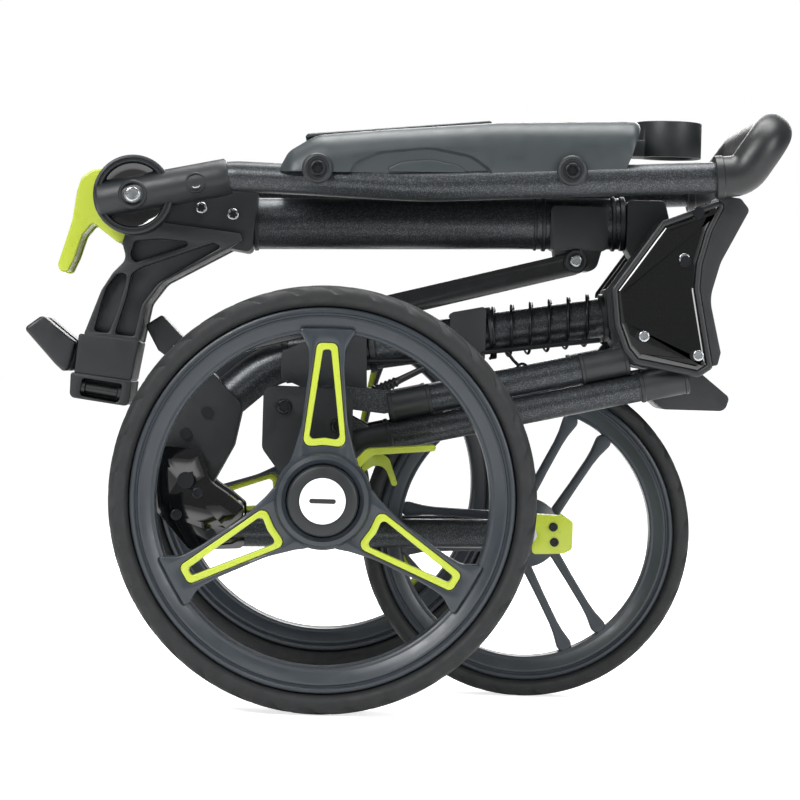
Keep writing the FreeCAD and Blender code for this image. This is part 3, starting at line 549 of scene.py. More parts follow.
def head_tree():
    """A screw head on each point, facing the way and at the size that the point says."""
    tree, given = geometry_tree("screw_heads", [("Head", "Object"), ("Material", "Material")])
    head = add_node(tree, "GeometryNodeObjectInfo", {"Object": given["Head"]})
    facing = add_node(tree, "GeometryNodeInputNamedAttribute", {"Name": "facing"}, data_type="FLOAT_VECTOR")
    scale = add_node(tree, "GeometryNodeInputNamedAttribute", {"Name": "scale"}, data_type="FLOAT")
    copies = add_node(tree, "GeometryNodeInstanceOnPoints", {
        "Points": given["Geometry"], "Instance": head.outputs["Geometry"],
        "Rotation": facing.outputs[0], "Scale": scale.outputs[0]})
    return close_tree(tree, copies.outputs[0], given["Material"])


def spring_tree():
    """Coil spring along +Z: a spiral with round wire swept along it."""
    tree, given = geometry_tree("coil_spring", [
        ("Turns", "Float"), ("Radius", "Float"), ("Length", "Float"), ("Wire", "Float"),
        ("Centre", "Vector"), ("Tilt", "Vector"), ("Material", "Material")])
    path = add_node(tree, "GeometryNodeCurveSpiral", {
        "Resolution": 48, "Rotations": given["Turns"], "Start Radius": given["Radius"],
        "End Radius": given["Radius"], "Height": given["Length"]})
    thick = add_node(tree, "ShaderNodeMath", {0: given["Wire"], 1: 0.5}, operation="MULTIPLY")
    section = add_node(tree, "GeometryNodeCurvePrimitiveCircle", {
        "Resolution": 10, "Radius": thick.outputs[0]})
    wire = add_node(tree, "GeometryNodeCurveToMesh", {
        "Curve": path.outputs[0], "Profile Curve": section.outputs[0], "Fill Caps": True})
    moved = add_node(tree, "GeometryNodeTransform", {
        "Geometry": wire.outputs[0], "Translation": given["Centre"], "Rotation": given["Tilt"]})
    return close_tree(tree, moved.outputs[0], given["Material"])


TREES = {}


def tree_named(name, build):
    if name not in TREES:
        TREES[name] = build()
    return TREES[name]


def repeated(name, mesh, axle, y, count, start, finish):
    """Mesh of one piece, made round the origin, repeated round an axle."""
    return grow(name, mesh, tree_named("round", round_tree), {
        "Count": count, "Start": math.radians(start), "Centre": Vector((axle[0], y, axle[1])) * MM,
        "Material": bpy.data.materials[finish]})


def head_mesh(name, kind):
    """Screw head of 1 mm diameter facing +Y, with a six-point or hexagonal recess."""
    steps, rings = 48, []
    turn = np.linspace(0, TAU, steps, endpoint=False)
    star = (0.30 * (1 + 0.17 * np.cos(6 * turn)) if kind == "torx"
            else 0.30 / np.cos((turn + TAU / 12) % (TAU / 6) - TAU / 12) * 0.95)
    for radius, y in ((0.46, 0.0), (0.5, 0.02), (0.5, 0.17), (0.47, 0.235), (0.42, 0.265), (0.37, 0.27),
                      (star * 1.05, 0.27), (star, 0.25), (star * 0.97, 0.06)):
        rings.append(np.stack((radius * np.cos(turn), np.full(steps, y), radius * np.sin(turn)), axis=1))
    return stacked(name, rings, False)


def screws(name, body, spots, finish, kind="torx"):
    """One object of screw heads for a body; spots are (x, y, z, side, diameter) in mm."""
    head = new_object(name + "_head", head_mesh(name + "_head", kind))
    cloud = bpy.data.meshes.new(name + "_spots")
    cloud.from_pydata([(x * MM, y * MM, z * MM) for x, y, z, _, _ in spots], [], [])
    facing = cloud.attributes.new("facing", "FLOAT_VECTOR", "POINT")
    twist = 0.3 * len(name)                                 # so that the groups' recesses don't all line up
    facing.data.foreach_set("vector", [n for s in spots for n in (0.0 if s[3] > 0 else math.pi, twist, 0.0)])
    scale = cloud.attributes.new("scale", "FLOAT", "POINT")
    scale.data.foreach_set("value", [s[4] for s in spots])
    made = grow(name, cloud, tree_named("heads", head_tree),
                {"Head": head, "Material": bpy.data.materials[finish]})
    bpy.data.objects.remove(head)
    return settle(name, made, body, finish, "black_steel")


# ---- finishes ----------------------------------------------------------------------------------
def new_material(name, **shader):
    """Principled material; returns its tree, shader and Object coordinates."""
    material = bpy.data.materials.new(name)
    material.use_nodes = True
    tree = material.node_tree
    tree.nodes.clear()
    values = {key.replace("_", " "): value for key, value in shader.items()}
    bsdf = add_node(tree, "ShaderNodeBsdfPrincipled", values)
    add_node(tree, "ShaderNodeOutputMaterial", {0: bsdf.outputs[0]})
    return tree, bsdf, add_node(tree, "ShaderNodeTexCoord").outputs["Object"]


def patch_scale(millimetres):
    """Noise scale whose patches are about this wide."""
    return 1.0 / (millimetres * MM)


def noise(tree, where, millimetres, detail):
    """Noise texture whose patches are about this wide."""
    return add_node(tree, "ShaderNodeTexNoise", {
        "Vector": where, "Scale": patch_scale(millimetres), "Detail": detail})


def dress(tree, bsdf, tint, level, bump):
    """Feeds the colour, the roughness and the relief to the shader."""
    tree.links.new(tint.outputs[2], bsdf.inputs["Base Color"])
    tree.links.new(level.outputs[0], bsdf.inputs["Roughness"])
    tree.links.new(bump.outputs[0], bsdf.inputs["Normal"])


def moulded(name, base, rough, spread=0.06, grain=0.6, relief=0.03, mottle=0.08, patch=26.0, **shader):
    """Textured surface: fine grain in relief, faint clouding of the colour, uneven sheen."""
    tree, bsdf, where = new_material(name, **shader)
    cloud = noise(tree, where, patch, 3.0)
    dark = tuple(c * (1 - mottle) for c in base) + (1.0,)
    light = tuple(min(1.0, c * (1 + mottle)) for c in base) + (1.0,)
    tint = add_node(tree, "ShaderNodeMix", {0: cloud.outputs[0], 6: dark, 7: light}, data_type="RGBA")
    sheen = noise(tree, where, 9.0, 4.0)
    level = add_node(tree, "ShaderNodeMapRange", {0: sheen.outputs[0], 1: 0.3, 2: 0.7,
                                                  3: rough - spread, 4: rough + spread})
    fine = noise(tree, where, grain, 2.0)
    bump = add_node(tree, "ShaderNodeBump", {
        "Height": fine.outputs[0], "Distance": relief * MM, "Strength": 0.8})
    dress(tree, bsdf, tint, level, bump)


def powder_coat(name, base, fleck):
    """Powder-coated aluminium with metal flakes: satin, with pin-points that catch the light."""
    tree, bsdf, where = new_material(name, Metallic=0.55, Coat_Weight=0.25, Coat_Roughness=0.28)
    # flakes are about 0.1 mm across; drawn at 0.55 mm so that they show
    cells = add_node(tree, "ShaderNodeTexVoronoi", {"Vector": where, "Scale": patch_scale(0.55)})
    pick = add_node(tree, "ShaderNodeSeparateColor", {0: cells.outputs["Color"]})
    chosen = add_node(tree, "ShaderNodeMapRange", {0: pick.outputs[0], 1: 0.55, 2: 1.0, 3: 0.0, 4: 0.42})
    tint = add_node(tree, "ShaderNodeMix", {0: chosen.outputs[0], 6: base + (1.0,), 7: fleck + (1.0,)},
                    data_type="RGBA")
    level = add_node(tree, "ShaderNodeMapRange", {0: pick.outputs[1], 3: 0.3, 4: 0.5})
    # orange peel, about 2 mm from bump to bump
    peel = noise(tree, where, 2.0, 2.0)
    bump = add_node(tree, "ShaderNodeBump", {
        "Height": peel.outputs[0], "Distance": 0.05 * MM, "Strength": 0.5})
    dress(tree, bsdf, tint, level, bump)


class TROLLEY_OT_finishes(bpy.types.Operator):
    """Makes the trolley's materials"""
    bl_idname = "trolley.finishes"
    bl_label = "Finishes"

    def execute(self, context):
        colours = context.scene.trolley_colours
        c = {key: tuple(getattr(colours, key)) for key in TrolleyColours.__annotations__}
        powder_coat("powder_coated_aluminium", c["graphite"], c["fleck"])
        # cast acrylic lacquer over a smooth moulding: a deep black mirror
        moulded("black_gloss_lacquer", c["lacquer"], 0.06, spread=0.02, grain=3.0, relief=0.01, mottle=0.2,
                Coat_Weight=1.0, Coat_Roughness=0.03)
        # glass-filled nylon, spark-eroded mould: dry satin with a fine grain
        moulded("glass_filled_nylon", c["slate"], 0.46, grain=0.7, relief=0.05)
        # ABS console shell: finer grain and a softer sheen
        moulded("moulded_abs", c["console"], 0.42, grain=0.8, relief=0.03)
        # polypropylene wheel moulding: smooth, with a broad waxy highlight
        moulded("moulded_polypropylene", c["rim"], 0.34, grain=1.1, relief=0.015, mottle=0.06)
        # coloured ABS: smooth and slightly translucent, so the colour stays bright in the shade
        moulded("lime_abs", c["lime"], 0.3, spread=0.04, grain=1.4, relief=0.01, mottle=0.04,
                Subsurface_Weight=0.12, Subsurface_Radius=(0.002, 0.002, 0.0008))
        # EVA foam tyre skin: matt, faintly dusty, with tiny pores
        moulded("eva_tyre", c["tyre"], 0.66, spread=0.08, grain=0.9, relief=0.09, mottle=0.25, patch=14.0)
        # thermoplastic rubber: soft satin with a leathery grain
        moulded("soft_rubber", c["grip"], 0.4, spread=0.05, grain=1.6, relief=0.05, mottle=0.15)
        # zinc-plated steel: bright, with fine turning marks
        moulded("zinc_plated_steel", linear("B9BDC0"), 0.24, grain=0.5, relief=0.01, mottle=0.1, Metallic=1.0)
        # black-oxide steel: oily dark metal
        moulded("black_oxide_steel", linear("2E3033"), 0.32, grain=0.5, relief=0.01, Metallic=0.85)
        # gloss-painted flat steel bar
        moulded("gloss_painted_steel", linear("101214"), 0.2, spread=0.04, grain=2.5, relief=0.03,
                Coat_Weight=0.5, Coat_Roughness=0.1)
        # pad-printed disc: smooth white ink
        moulded("white_print", c["badge"], 0.35, spread=0.03, grain=1.0, relief=0.005, mottle=0.02)
        return {"FINISHED"}


# ---- frame pieces ------------------------------------------------------------------------------
def sleeve(name, start, end, profile, steps=56):
    """Solid round the line from start to end; the profile is (distance along, radius) in mm."""
    first, last = Vector(start), Vector(end)
    way = (last - first).normalized()
    side = way.cross(Vector((0, 1, 0))).normalized()
    up = side.cross(way)
    turn = np.linspace(0, TAU, steps, endpoint=False)
    circle_3d = np.outer(np.cos(turn), np.array(side)) + np.outer(np.sin(turn), np.array(up))
    rings = [np.array(first + way * t) + circle_3d * max(r, 0.01) for t, r in profile]
    return stacked(name, rings, False)


def collar(start, end, radius, lip=0.0, edge=0.6):
    """Profile of a plain sleeve with eased edges, and a raised lip at each end if it has one."""
    run = (Vector(end) - Vector(start)).length
    wide = radius + lip
    if not lip:
        return [(0, radius - edge), (edge, radius), (run - edge, radius), (run, radius - edge)]
    return [(0, wide - edge), (edge, wide), (2.6, wide), (3.2, radius), (run - 3.2, radius),
            (run - 2.6, wide), (run - edge, wide), (run, wide - edge)]


def bands(rows, height, body):
    """Plain collars on a tube whose axis is at this height for each X; rows say name, X, run and radius."""
    for name, along, run, wide in rows:
        a, b = ((x, 0, height(x)) for x in (along, along + run))
        settle(name, sleeve(name, a, b, collar(a, b, wide)), body, *NYLON)


def turned(name, profile, pivot, steps, side, body, *look):
    """Settles one piece that is turned round the pivot's axis."""
    settle(name, lathe(name, profile, pivot, steps, side), body, *look)


HINGE_OUTLINE = [(-12, 54, 4), (-46, 5, 6), (-43, -21, 8), (-36, -39, 6), (-28, -48, 6), (18, -56, 4),
                 (28, -49, 4), (17, 7, 12), (18, 24, 12), (24, 47, 10), (36, 73, 4)]


class TROLLEY_OT_tubes(bpy.types.Operator):
    """Finishes the tubes, pins and rods whose plain shape is right"""
    bl_idname = "trolley.tubes"
    bl_label = "Tubes and pins"

    def execute(self, context):
        for finish, nodes in (
                ("powder_coated_aluminium", ("upper_tube", "front_tube", "handle_tubes", "fork_arms")),
                ("powder_coated_aluminium", ("lower_link_near", "lower_link_far", "upper_link_near",
                                             "upper_link_far")),
                ("soft_rubber", ("grip",)),
                ("zinc_plated_steel", ("main_pin", "handle_pin", "front_axle", "rear_axles", "link_rods")),
                ("black_oxide_steel", ("link_pins", "fork_pin", "frame_screws", "collar_screws",
                                       "fork_screws"))):
            for node in nodes:
                finish_node(node, finish)
        return {"FINISHED"}


class TROLLEY_OT_main_hinge(bpy.types.Operator):
    """Builds the main hinge: core, gloss panels in matt beads, and the curved bag rails"""
    bl_idname = "trolley.main_hinge"
    bl_label = "Main hinge"

    def execute(self, context):
        bead = sizes().bead / MM
        soften("hinge_core", 1.2, "front_frame", *NYLON)
        soften("bag_rails", 1.4, "front_frame", *NYLON)
        ring = outline(HINGE_OUTLINE, MAIN)
        start, floor = low_high("hinge_cover_far")[0].y, COVER_OUT - 2.2
        infill = outline([(-11, 52, 4), (-43, 6, 6), (-26, -6, 4), (12, -6, 4), (17, 24, 10), (23, 47, 8),
                          (34, 71, 4)], MAIN)
        for side, hand in HANDS:
            body = [(0.6, start), (0, start + 0.6), (0, COVER_OUT - 1.6), (0.4, COVER_OUT - 0.6),
                    (1.4, COVER_OUT), (bead - 1.2, COVER_OUT), (bead - 0.4, COVER_OUT - 0.5), (bead, floor)]
            shell = slab("shell", ring, body, side)
            core = slab("core", infill, rounded(31, 48, 1.0, 2), side)
            settle("hinge_bead_" + hand, [shell, core], "front_frame",
                   "glass_filled_nylon", "gloss_cover", "hinge_cover_" + hand)
            panel = [(bead + 0.3, floor - 0.4), (bead + 0.3, floor + 0.7), (bead + 0.9, floor + 1.2),
                     (bead + 2.4, floor + 1.5), (bead + 4.0, floor + 1.6)]
            settle("hinge_panel_" + hand, slab("hinge_panel_" + hand, ring, panel, side), "front_frame",
                   *LACQUER)
        return {"FINISHED"}


class TROLLEY_OT_front_tube_fittings(bpy.types.Operator):
    """Builds the sliding block, spring, rods and clamp on the front tube"""
    bl_idname = "trolley.front_tube_fittings"
    bl_label = "Front tube fittings"

    def execute(self, context):
        for node, edge in (("tube_block", 1.6), ("spring_collar", 2.0), ("front_clamp", 1.8)):
            soften(node, edge, "front_frame", *NYLON)
        low, high = low_high("spring")
        radius = (high.y - low.y) / 2 - sizes().wire / MM / 2
        start = low.x + 1
        run = (high.x - low.x - 4) / math.cos(math.atan(FRONT_TUBE_SLOPE))
        tilt = (0.0, math.pi / 2 - math.atan(FRONT_TUBE_SLOPE), 0.0)
        spring = grow("spring_coil", bpy.data.meshes.new("empty"), tree_named("spring", spring_tree), {
            "Turns": float(sizes().turns), "Radius": radius * MM, "Length": run * MM, "Wire": sizes().wire,
            "Centre": Vector((start, 0, on_front_tube(start))) * MM, "Tilt": tilt,
            "Material": bpy.data.materials["black_oxide_steel"]}, 60)
        settle("spring_coil", spring, "front_frame", "black_oxide_steel", "black_steel", "spring")
        rods = [swept("a", [(-42, -17.5, 241.4), (-14, -17.5, 242.2), (28, -17.0, 245.0)], 1.7),
                swept("b", [(58, -18.5, 250.4), (100, -18.5, 256.2), (144, -18.5, 262)], 1.9),
                swept("c", [(77, -18.5, 252.5), (81, -18.5, 246.5), (85.5, -18.5, 242)], 1.2),
                lathe("d", [(2.6, -19.6), (2.6, -17.4), (4.6, -17.4), (4.6, -19.6)], (88.5, 239.5), 32)]
        settle("brake_rods", rods, "front_frame", "black_oxide_steel", "black_steel")
        boot = [(0, 3.0), (7, 4.2)]
        for i in range(7):
            boot += [(8.5 + i * 3.2, 5.4 - i * 0.25), (10.1 + i * 3.2, 4.0 - i * 0.2)]
        boot += [(32, 2.6), (60, 2.2), (60.5, 0.01)]
        settle("brake_boot", sleeve("brake_boot", (-28.3, -19, 214.2), (26, -17, 242.5), [(0, 0.01)] + boot),
               "front_frame", *RUBBER)
        bands((("tube_lip_block", -86, 5, 16.6), ("tube_lip_knee", -24, 5, 17.2),
               ("tube_lip_spring", 63.5, 4, 19.2), ("tube_lip_hinge", 146, 4, 17.5)),
              on_front_tube, "front_frame")
        return {"FINISHED"}


class TROLLEY_OT_upper_frame(bpy.types.Operator):
    """Builds the fittings of the upper tube and the brace bars under it"""
    bl_idname = "trolley.upper_frame"
    bl_label = "Upper frame"

    def execute(self, context):
        for node, edge in (("upper_knuckle", 1.4), ("mid_bracket", 1.8), ("brace_end_block", 1.2)):
            soften(node, edge, "upper_frame", *NYLON)
        soften("brace_bars", 1.0, "upper_frame", "gloss_painted_steel", "black_steel")
        start, end = (MAIN[0] - 32, MAIN[1] + 55), (HANDLE[0] + 83, HANDLE[1] - 15)
        slope = (start[1] - end[1]) / (start[0] - end[0])
        bands((("tube_band_a", 100, 3, 20.2), ("tube_band_b", 94, 2.4, 19.7), ("tube_band_c", 151, 3, 20.2),
               ("tube_band_d", 157, 4, 19.9), ("tube_band_e", -110, 3.2, 19.8)),
              lambda x: end[1] + (x - end[0]) * slope, "upper_frame")
        for side, hand in HANDS:
            boss = [(0.01, 20), (8.6, 20), (8.6, 22.4), (7.6, 23.2), (5.6, 23.2), (5.2, 22.6), (0.01, 22.6)]
            settle("brace_boss_" + hand, lathe("boss", boss, BRACE_PIN, 64, side), "upper_frame", *NYLON)
        return {"FINISHED"}


# outline and pockets of the bag arm, in mm from the handle pivot
ARM_RING = [(-4, -19), (-9, -33, 4), (-5.5, -45, 8), (-15, -55, 12), (-23, -68, 14), (-35, -101, 2),
            (5, -105, 2), (10.5, -76, 12), (21.5, -61, 12), (78, -29.5, 3), (76, -24, 2), (20, -18)]
ARM_POCKETS = ([(-27.5, -97.7, 2), (-16.8, -98.7, 2), (-11.5, -83.8, 20), (-5.6, -62.8, 12), (-5, -54.5, 5),
                (-12.2, -55.9, 6), (-19.4, -66.0, 10), (-23.2, -78.7, 20)],
               [(-12.6, -99.4, 2), (1.8, -100.6, 2), (6.2, -78, 12), (17.8, -61.9, 14), (63, -34, 1.5),
                (57, -31.4, 2), (4.8, -50.8, 8), (-1.6, -55.5, 6), (-4.8, -72.7, 20)],
               [(0, -31.5, 3), (18.7, -29.5, 3), (46, -31.5, 2), (22.5, -39.5, 6), (1.1, -47.2, 3),
                (-3.4, -42.9, 6)])


class TROLLEY_OT_bag_bracket(bpy.types.Operator):
    """Builds the collar, ribbed arm and strap block of the lower bag bracket"""
    bl_idname = "trolley.bag_bracket"
    bl_label = "Bag bracket"

    def execute(self, context):
        for node, edge in (("hinge_collar", 1.8), ("bag_wings", 2.4)):
            soften(node, edge, "upper_frame", *NYLON)
        half = low_high("bag_arm")[1].y
        web = slab("web", inset(outline(ARM_RING, HANDLE), 0.8), rounded(-half + 9, half - 9, 0.4, 2))
        box = [(-38.2, -99.5, 2), (5.4, -104, 2), (0.5, -133, 2), (-41, -128.5, 2)]
        foot = [(-43.2, -127.5, 2), (1.0, -132.5, 2), (-0.8, -151.3, 4), (-43.6, -145.8, 4)]
        slot = [(-34.5, -131.5, 2), (-5.8, -135.2, 2), (-8.2, -148.9, 3), (-36.4, -144.3, 3)]
        arm, strap, rollers = [web], [block(box, HANDLE, -half, half, 1.2)], []
        strap.append(slab("foot", inset(outline(foot, HANDLE), 0.4), rounded(-half + 11, half - 11, 0.6, 2)))
        for side in (NEAR, FAR):
            low, high = between(side, half - 9.4, half + 0.2)
            pockets = [outline(pocket, HANDLE) for pocket in ARM_POCKETS]
            arm.append(framed("ribs", outline(ARM_RING, HANDLE), pockets, low, high, 0.9))
            low, high = between(side, half - 12, half + 1.8)
            strap.append(framed("frame", outline(foot, HANDLE), [outline(slot, HANDLE)], low, high, 1.0))
            y = side * (half - 4.5)
            left = (HANDLE[0] - 35.5, y, HANDLE[1] - 138.2)
            right = (HANDLE[0] - 6.5, y, HANDLE[1] - 142.2)
            run = (Vector(right) - Vector(left)).length
            rollers.append(sleeve("roller", left, right, [
                (0, 5.0), (2.4, 5.0), (2.8, 4.4), (3.4, 3.9), (run - 3.4, 3.9), (run - 2.8, 4.4),
                (run - 2.4, 5.0), (run, 5.0)], 40))
        settle("bag_arm_ribbed", arm, "upper_frame", *NYLON, "bag_arm")
        settle("strap_box", strap, "upper_frame", *NYLON, "strap_block")
        settle("strap_rollers", rollers, "upper_frame", "soft_rubber", "slate_plastic", "strap_roller")
        return {"FINISHED"}


# lime hook, in mm from the handle pivot: down the outside, round the tip and back up the inside
LEVER_RING = [(-10, 24), (-21, 21.5, 6), (-33, 19.3, 9), (-40.5, 14, 7), (-43.5, 4, 12), (-46.5, -18, 30),
              (-56, -50, 3.5), (-54.3, -54.9, 3), (-48.5, -55.2, 3), (-43.5, -44, 10), (-38.5, -28, 10),
              (-31, -18.6, 8), (-25.5, -23.5, 6), (-12, -33.5, 3), (-4, -30, 3), (-8, -10), (-8, 10)]


class TROLLEY_OT_cam_lever(bpy.types.Operator):
    """Builds the lime cam lever round the handle hinge"""
    bl_idname = "trolley.cam_lever"
    bl_label = "Cam lever"

    def execute(self, context):
        half = low_high("cam_lever")[1].y
        band = outline(LEVER_RING, HANDLE)
        thick = slab("band", inset(band, 1.2), rounded(-half + 5, half - 5, 0.8, 2))
        lips = []
        for side in (NEAR, FAR):
            low, high = between(side, half - 6.5, half)
            lips.append(slab("lip", band, rounded(low, high, 1.6)))
        settle("lever_hook", [thick] + lips, "cam_lever", *LIME, "cam_lever")
        return {"FINISHED"}


class TROLLEY_OT_handle(bpy.types.Operator):
    """Builds the handle's hinge discs, sleeves, bolts and grip collars"""
    bl_idname = "trolley.handle"
    bl_label = "Handle"

    def execute(self, context):
        low, high = low_high("handle_hinge_far")
        inner, face = low.y, high.y
        middle = (inner + face) / 2
        lip = high.z - HANDLE[1]
        for side, hand in HANDS:
            rise = face - 5.5
            profile = [(6.05, inner), (lip - 1, inner), (lip, inner + 1), (lip, rise - 1.4),
                       (lip - 0.5, rise - 0.4), (lip - 1.4, rise), (lip - 2.2, rise),
                       (lip - 2.8, rise - 1.0), (lip - 3.4, rise - 1.0),
                       (lip - 3.9, rise - 0.2), (lip - 4.8, rise - 0.2), (lip - 5.4, rise - 1.2),
                       (lip - 5.6, rise - 7), (lip - 7, rise - 8), (6.05, rise - 8)]
            rings = lathe("ring", profile, HANDLE, 128, side)
            settle("hinge_disc_" + hand, rings, "handle", *NYLON, "handle_hinge_" + hand)
            dish = [(0.01, rise - 9), (lip - 5.8, rise - 9), (lip - 5.8, rise - 6.8), (lip - 6.6, rise - 7.2),
                    (lip - 11, rise - 7.6), (0.01, rise - 7.8)]
            turned("hinge_dish_" + hand, dish, HANDLE, 96, side,
                   "handle", "black_gloss_lacquer", "slate_plastic")
            slope = Vector((67, 0, 14.6)).normalized()
            b = Vector((HANDLE[0] + 68, side * middle, HANDLE[1] + 15.4))
            a = b - slope * (b.x - HANDLE[0] + 26.5) / slope.x
            run, wide = (b - a).length, 13.3
            body = [(0, wide - 4.2), (0.4, wide - 2.0), (1.4, wide - 0.6), (3.0, wide), (run - 8, wide),
                    (run - 2.0, wide), (run - 0.7, wide - 0.5), (run, wide - 1.6), (run, wide - 2.2)]
            tube = sleeve("tube", a, b, body, 88)
            settle("hinge_sleeve_" + hand, tube, "handle", *NYLON)
            cap = [(0.01, face - 8), (10.3, face - 8), (10.3, face - 0.5), (9.6, face + 0.3),
                   (8.4, face + 0.3), (7.8, face - 0.4), (7.4, face - 2.4), (0.01, face - 2.4)]
            discs = [lathe("bolt", cap, HANDLE, 64, side)]
            small = [(r * 0.72, y - 0.5) for r, y in cap]
            discs.append(lathe("bolt", small, SLEEVE_SCREW, 56, side))
            bolt_starts = (low_high("console_tray")[1].y, low_high("handle_tubes")[1].y + 0.4)
            for spot, start in zip(CONSOLE_BOLTS, bolt_starts):
                profile = [(0.01, start - 1), (10.4, start - 1), (10.8, start), (10.8, start + 1.6),
                           (10.0, start + 2.6), (8.4, start + 3.0), (7.6, start + 2.4), (6.8, start + 2.4),
                           (6.4, start + 2.0), (0.01, start + 2.0)]
                discs.append(lathe("bolt", profile, spot, 64, side))
            replaced = ["handle_bolts"] if side == NEAR else []
            settle("handle_bolts_" + hand, discs, "handle", *NYLON, *replaced)
            spread = low_high("handle_tubes")[1].y - HANDLE_TUBE_R
            a, b = Vector((216, side * spread, TOP + 23.1)), Vector((222, side * spread, TOP + 23.7))
            settle("grip_collar_" + hand, sleeve("grip_collar_" + hand, a, b, collar(a, b, 15.3)), "handle",
                   *RUBBER)
        return {"FINISHED"}


class TROLLEY_OT_console(bpy.types.Operator):
    """Builds the console: shell, lid, scalloped sides, latch and accessory ring"""
    bl_idname = "trolley.console"
    bl_label = "Console"

    def execute(self, context):
        half, lid_half = low_high("console_tray")[1].y, low_high("console_lid")[1].y
        skin = outline([(-92, -30, 3), (-91, 21, 10), (-85, 33, 14), (-66, 45, 26), (-20, 50.2, 90),
                        (64, 58, 30), (150, 61.6, 10), (166, 61.6, 7), (159, 45, 30), (151, 20, 12),
                        (150, -30, 2)], (0, TOP))
        shell = crowned("shell", skin, half, 20.0)
        under = outline([(-120, -60), (200, -60), (200, 22.2), (148, 22.2, 8), (118, 21, 10), (-60, 18.4, 10),
                         (-120, 18.0)], (0, TOP))
        pocket = outline([(-70, 28, 6), (52, 28, 6), (52, 90), (-70, 90)], (0, TOP))
        seat = outline([(-76, 42.2, 3), (60, 56.2, 3), (60, 90), (-76, 90)], (0, TOP))
        cutters = [slab("cut", under, [(0, -130), (0, 130)]),
                   slab("cut", pocket, [(0, 8 - lid_half), (0, lid_half - 8)]),
                   slab("cut", seat, [(0, -lid_half - 0.4), (0, lid_half + 0.4)])]
        turn = np.linspace(0, TAU, 64, endpoint=False)
        for side in (NEAR, FAR):
            rings = [np.stack((120 + r * np.cos(turn), side * 40 + r * np.sin(turn),
                               np.full(64, TOP + z)), axis=1)
                     for r, z in ((12, 40.3), (19, 42.5), (21.5, 47), (21.9, 55), (22, 59), (24.5, 63),
                                  (30, 66.5))]
            cutters.append(stacked("cup", rings, False))
            low, high = between(side, half - 2.2, half + 20)
            scallop = outline([(-46, 10, 2), (-38, 26, 8), (-22, 34, 22), (14, 38.5, 44), (44, 33, 22),
                               (56, 25, 10), (66, 10, 2)], (0, TOP))
            levels = ([(2.0, low), (0, low + 2), (0, high)] if side == FAR
                      else [(0, low), (0, high - 2), (2.0, high)])
            cutters.append(slab("cut", scallop, levels))
        settle("console_shell", carve(shell, cutters, 0.9), "handle", *CONSOLE, "console_tray")
        lid_side = [(-74.5, 43.4, 2), (58.5, 57.0, 2), (58.5, 60.2, 2), (-72, 47.0, 3)]
        lid = block(lid_side, (0, TOP), -lid_half + 1, lid_half - 1, 2.4)
        pad_side = [(-66, 46.6, 1), (50, 58.4, 1), (50, 59.9, 1), (-64, 48.4, 1)]
        pad = block(pad_side, (0, TOP), -lid_half + 12, lid_half - 12, 1.0, 2)
        settle("lid_panel", [lid, pad], "console_lid", *CONSOLE, "console_lid")
        soften("accessory_ring", 1.2, "handle", "glass_filled_nylon", "console_plastic")
        for side, hand in HANDS:
            low, high = between(side, half - 5, half - 0.6)
            crescent = [(-20, 19.5, 2), (-6, 27, 16), (14, 29.5, 30), (34, 26, 16), (44, 20.5, 2)]
            settle("side_pad_" + hand, block(crescent, (0, TOP), low, high, 1.2), "handle", *CONSOLE)
        bump = [(62, 54, 1), (63, 62.5, 2), (68, 63, 2), (70, 55, 1)]
        bumps = [block(bump, (i * 8.4, TOP), -14, 14, 1.5) for i in range(3)]
        settle("latch", bumps, "handle", *NYLON)
        return {"FINISHED"}


class TROLLEY_OT_fork(bpy.types.Operator):
    """Builds the fork's moulded covers, bridge and lime axle clamps"""
    bl_idname = "trolley.fork"
    bl_label = "Fork"

    def execute(self, context):
        for hand in ("near", "far"):
            soften("fork_cover_" + hand, 3.2, "fork", *LACQUER, 4)
        soften("fork_bridge", 1.4, "fork", *NYLON)
        soften("axle_clamps", 1.6, "fork", *LIME)
        return {"FINISHED"}


class TROLLEY_OT_links(bpy.types.Operator):
    """Builds the axle brackets and the plastic ends of the link tubes"""
    bl_idname = "trolley.links"
    bl_label = "Links and axle brackets"

    def execute(self, context):
        for hand in ("near", "far"):
            soften("axle_bracket_" + hand, 0.9, "axle_frame", *NYLON)
        way = Vector((-math.cos(LINK_SLOPE), 0, -math.sin(LINK_SLOPE)))
        down = Vector((math.sin(LINK_SLOPE), 0, -math.cos(LINK_SLOPE)))
        for kind, pin, far_end in (("lower", (MAIN[0] + 15, MAIN[1] - 40.5), 252.5),
                                   ("upper", (MAIN[0] - 24, MAIN[1] - 28), 184.5)):
            for side, hand in HANDS:
                base = Vector((pin[0], side * LINK_MIDDLE, pin[1])) + down * LINK_OFFSET
                begin = 8 if kind == "lower" else 12
                near_end = (base + way * (begin - 1), base + way * (begin + 34))
                axle_end = (base + way * (far_end - 30), base + way * (far_end + 1))
                made = [sleeve("end", a, b, collar(a, b, 10.8, 0.5)) for a, b in (near_end, axle_end)]
                settle("%s_link_ends_%s" % (kind, hand), made, "%s_link_%s" % (kind, hand), *NYLON)
        return {"FINISHED"}


class TROLLEY_OT_brake(bpy.types.Operator):
    """Builds the lime foot brake"""
    bl_idname = "trolley.brake"
    bl_label = "Foot brake"

    def execute(self, context):
        soften("brake_pedal", 1.2, "brake_pedal", *LIME)
        return {"FINISHED"}


# ---- wheels ------------------------------------------------------------------------------------
def tyre(name, node, axle, middle, outer, seat, width, grooves, body):
    made = grow(name, bpy.data.meshes.new("empty"), tree_named("tyre", tyre_tree), {
        "Outer radius": outer * MM, "Seat radius": (seat - 0.4) * MM, "Width": width * MM,
        "Grooves": float(grooves), "Groove depth": sizes().groove_depth,
        "Centre": Vector((axle[0], middle, axle[1])) * MM,
        "Material": bpy.data.materials["eva_tyre"]}, 60)
    settle(name, made, body, "eva_tyre", "tyre_foam", node)


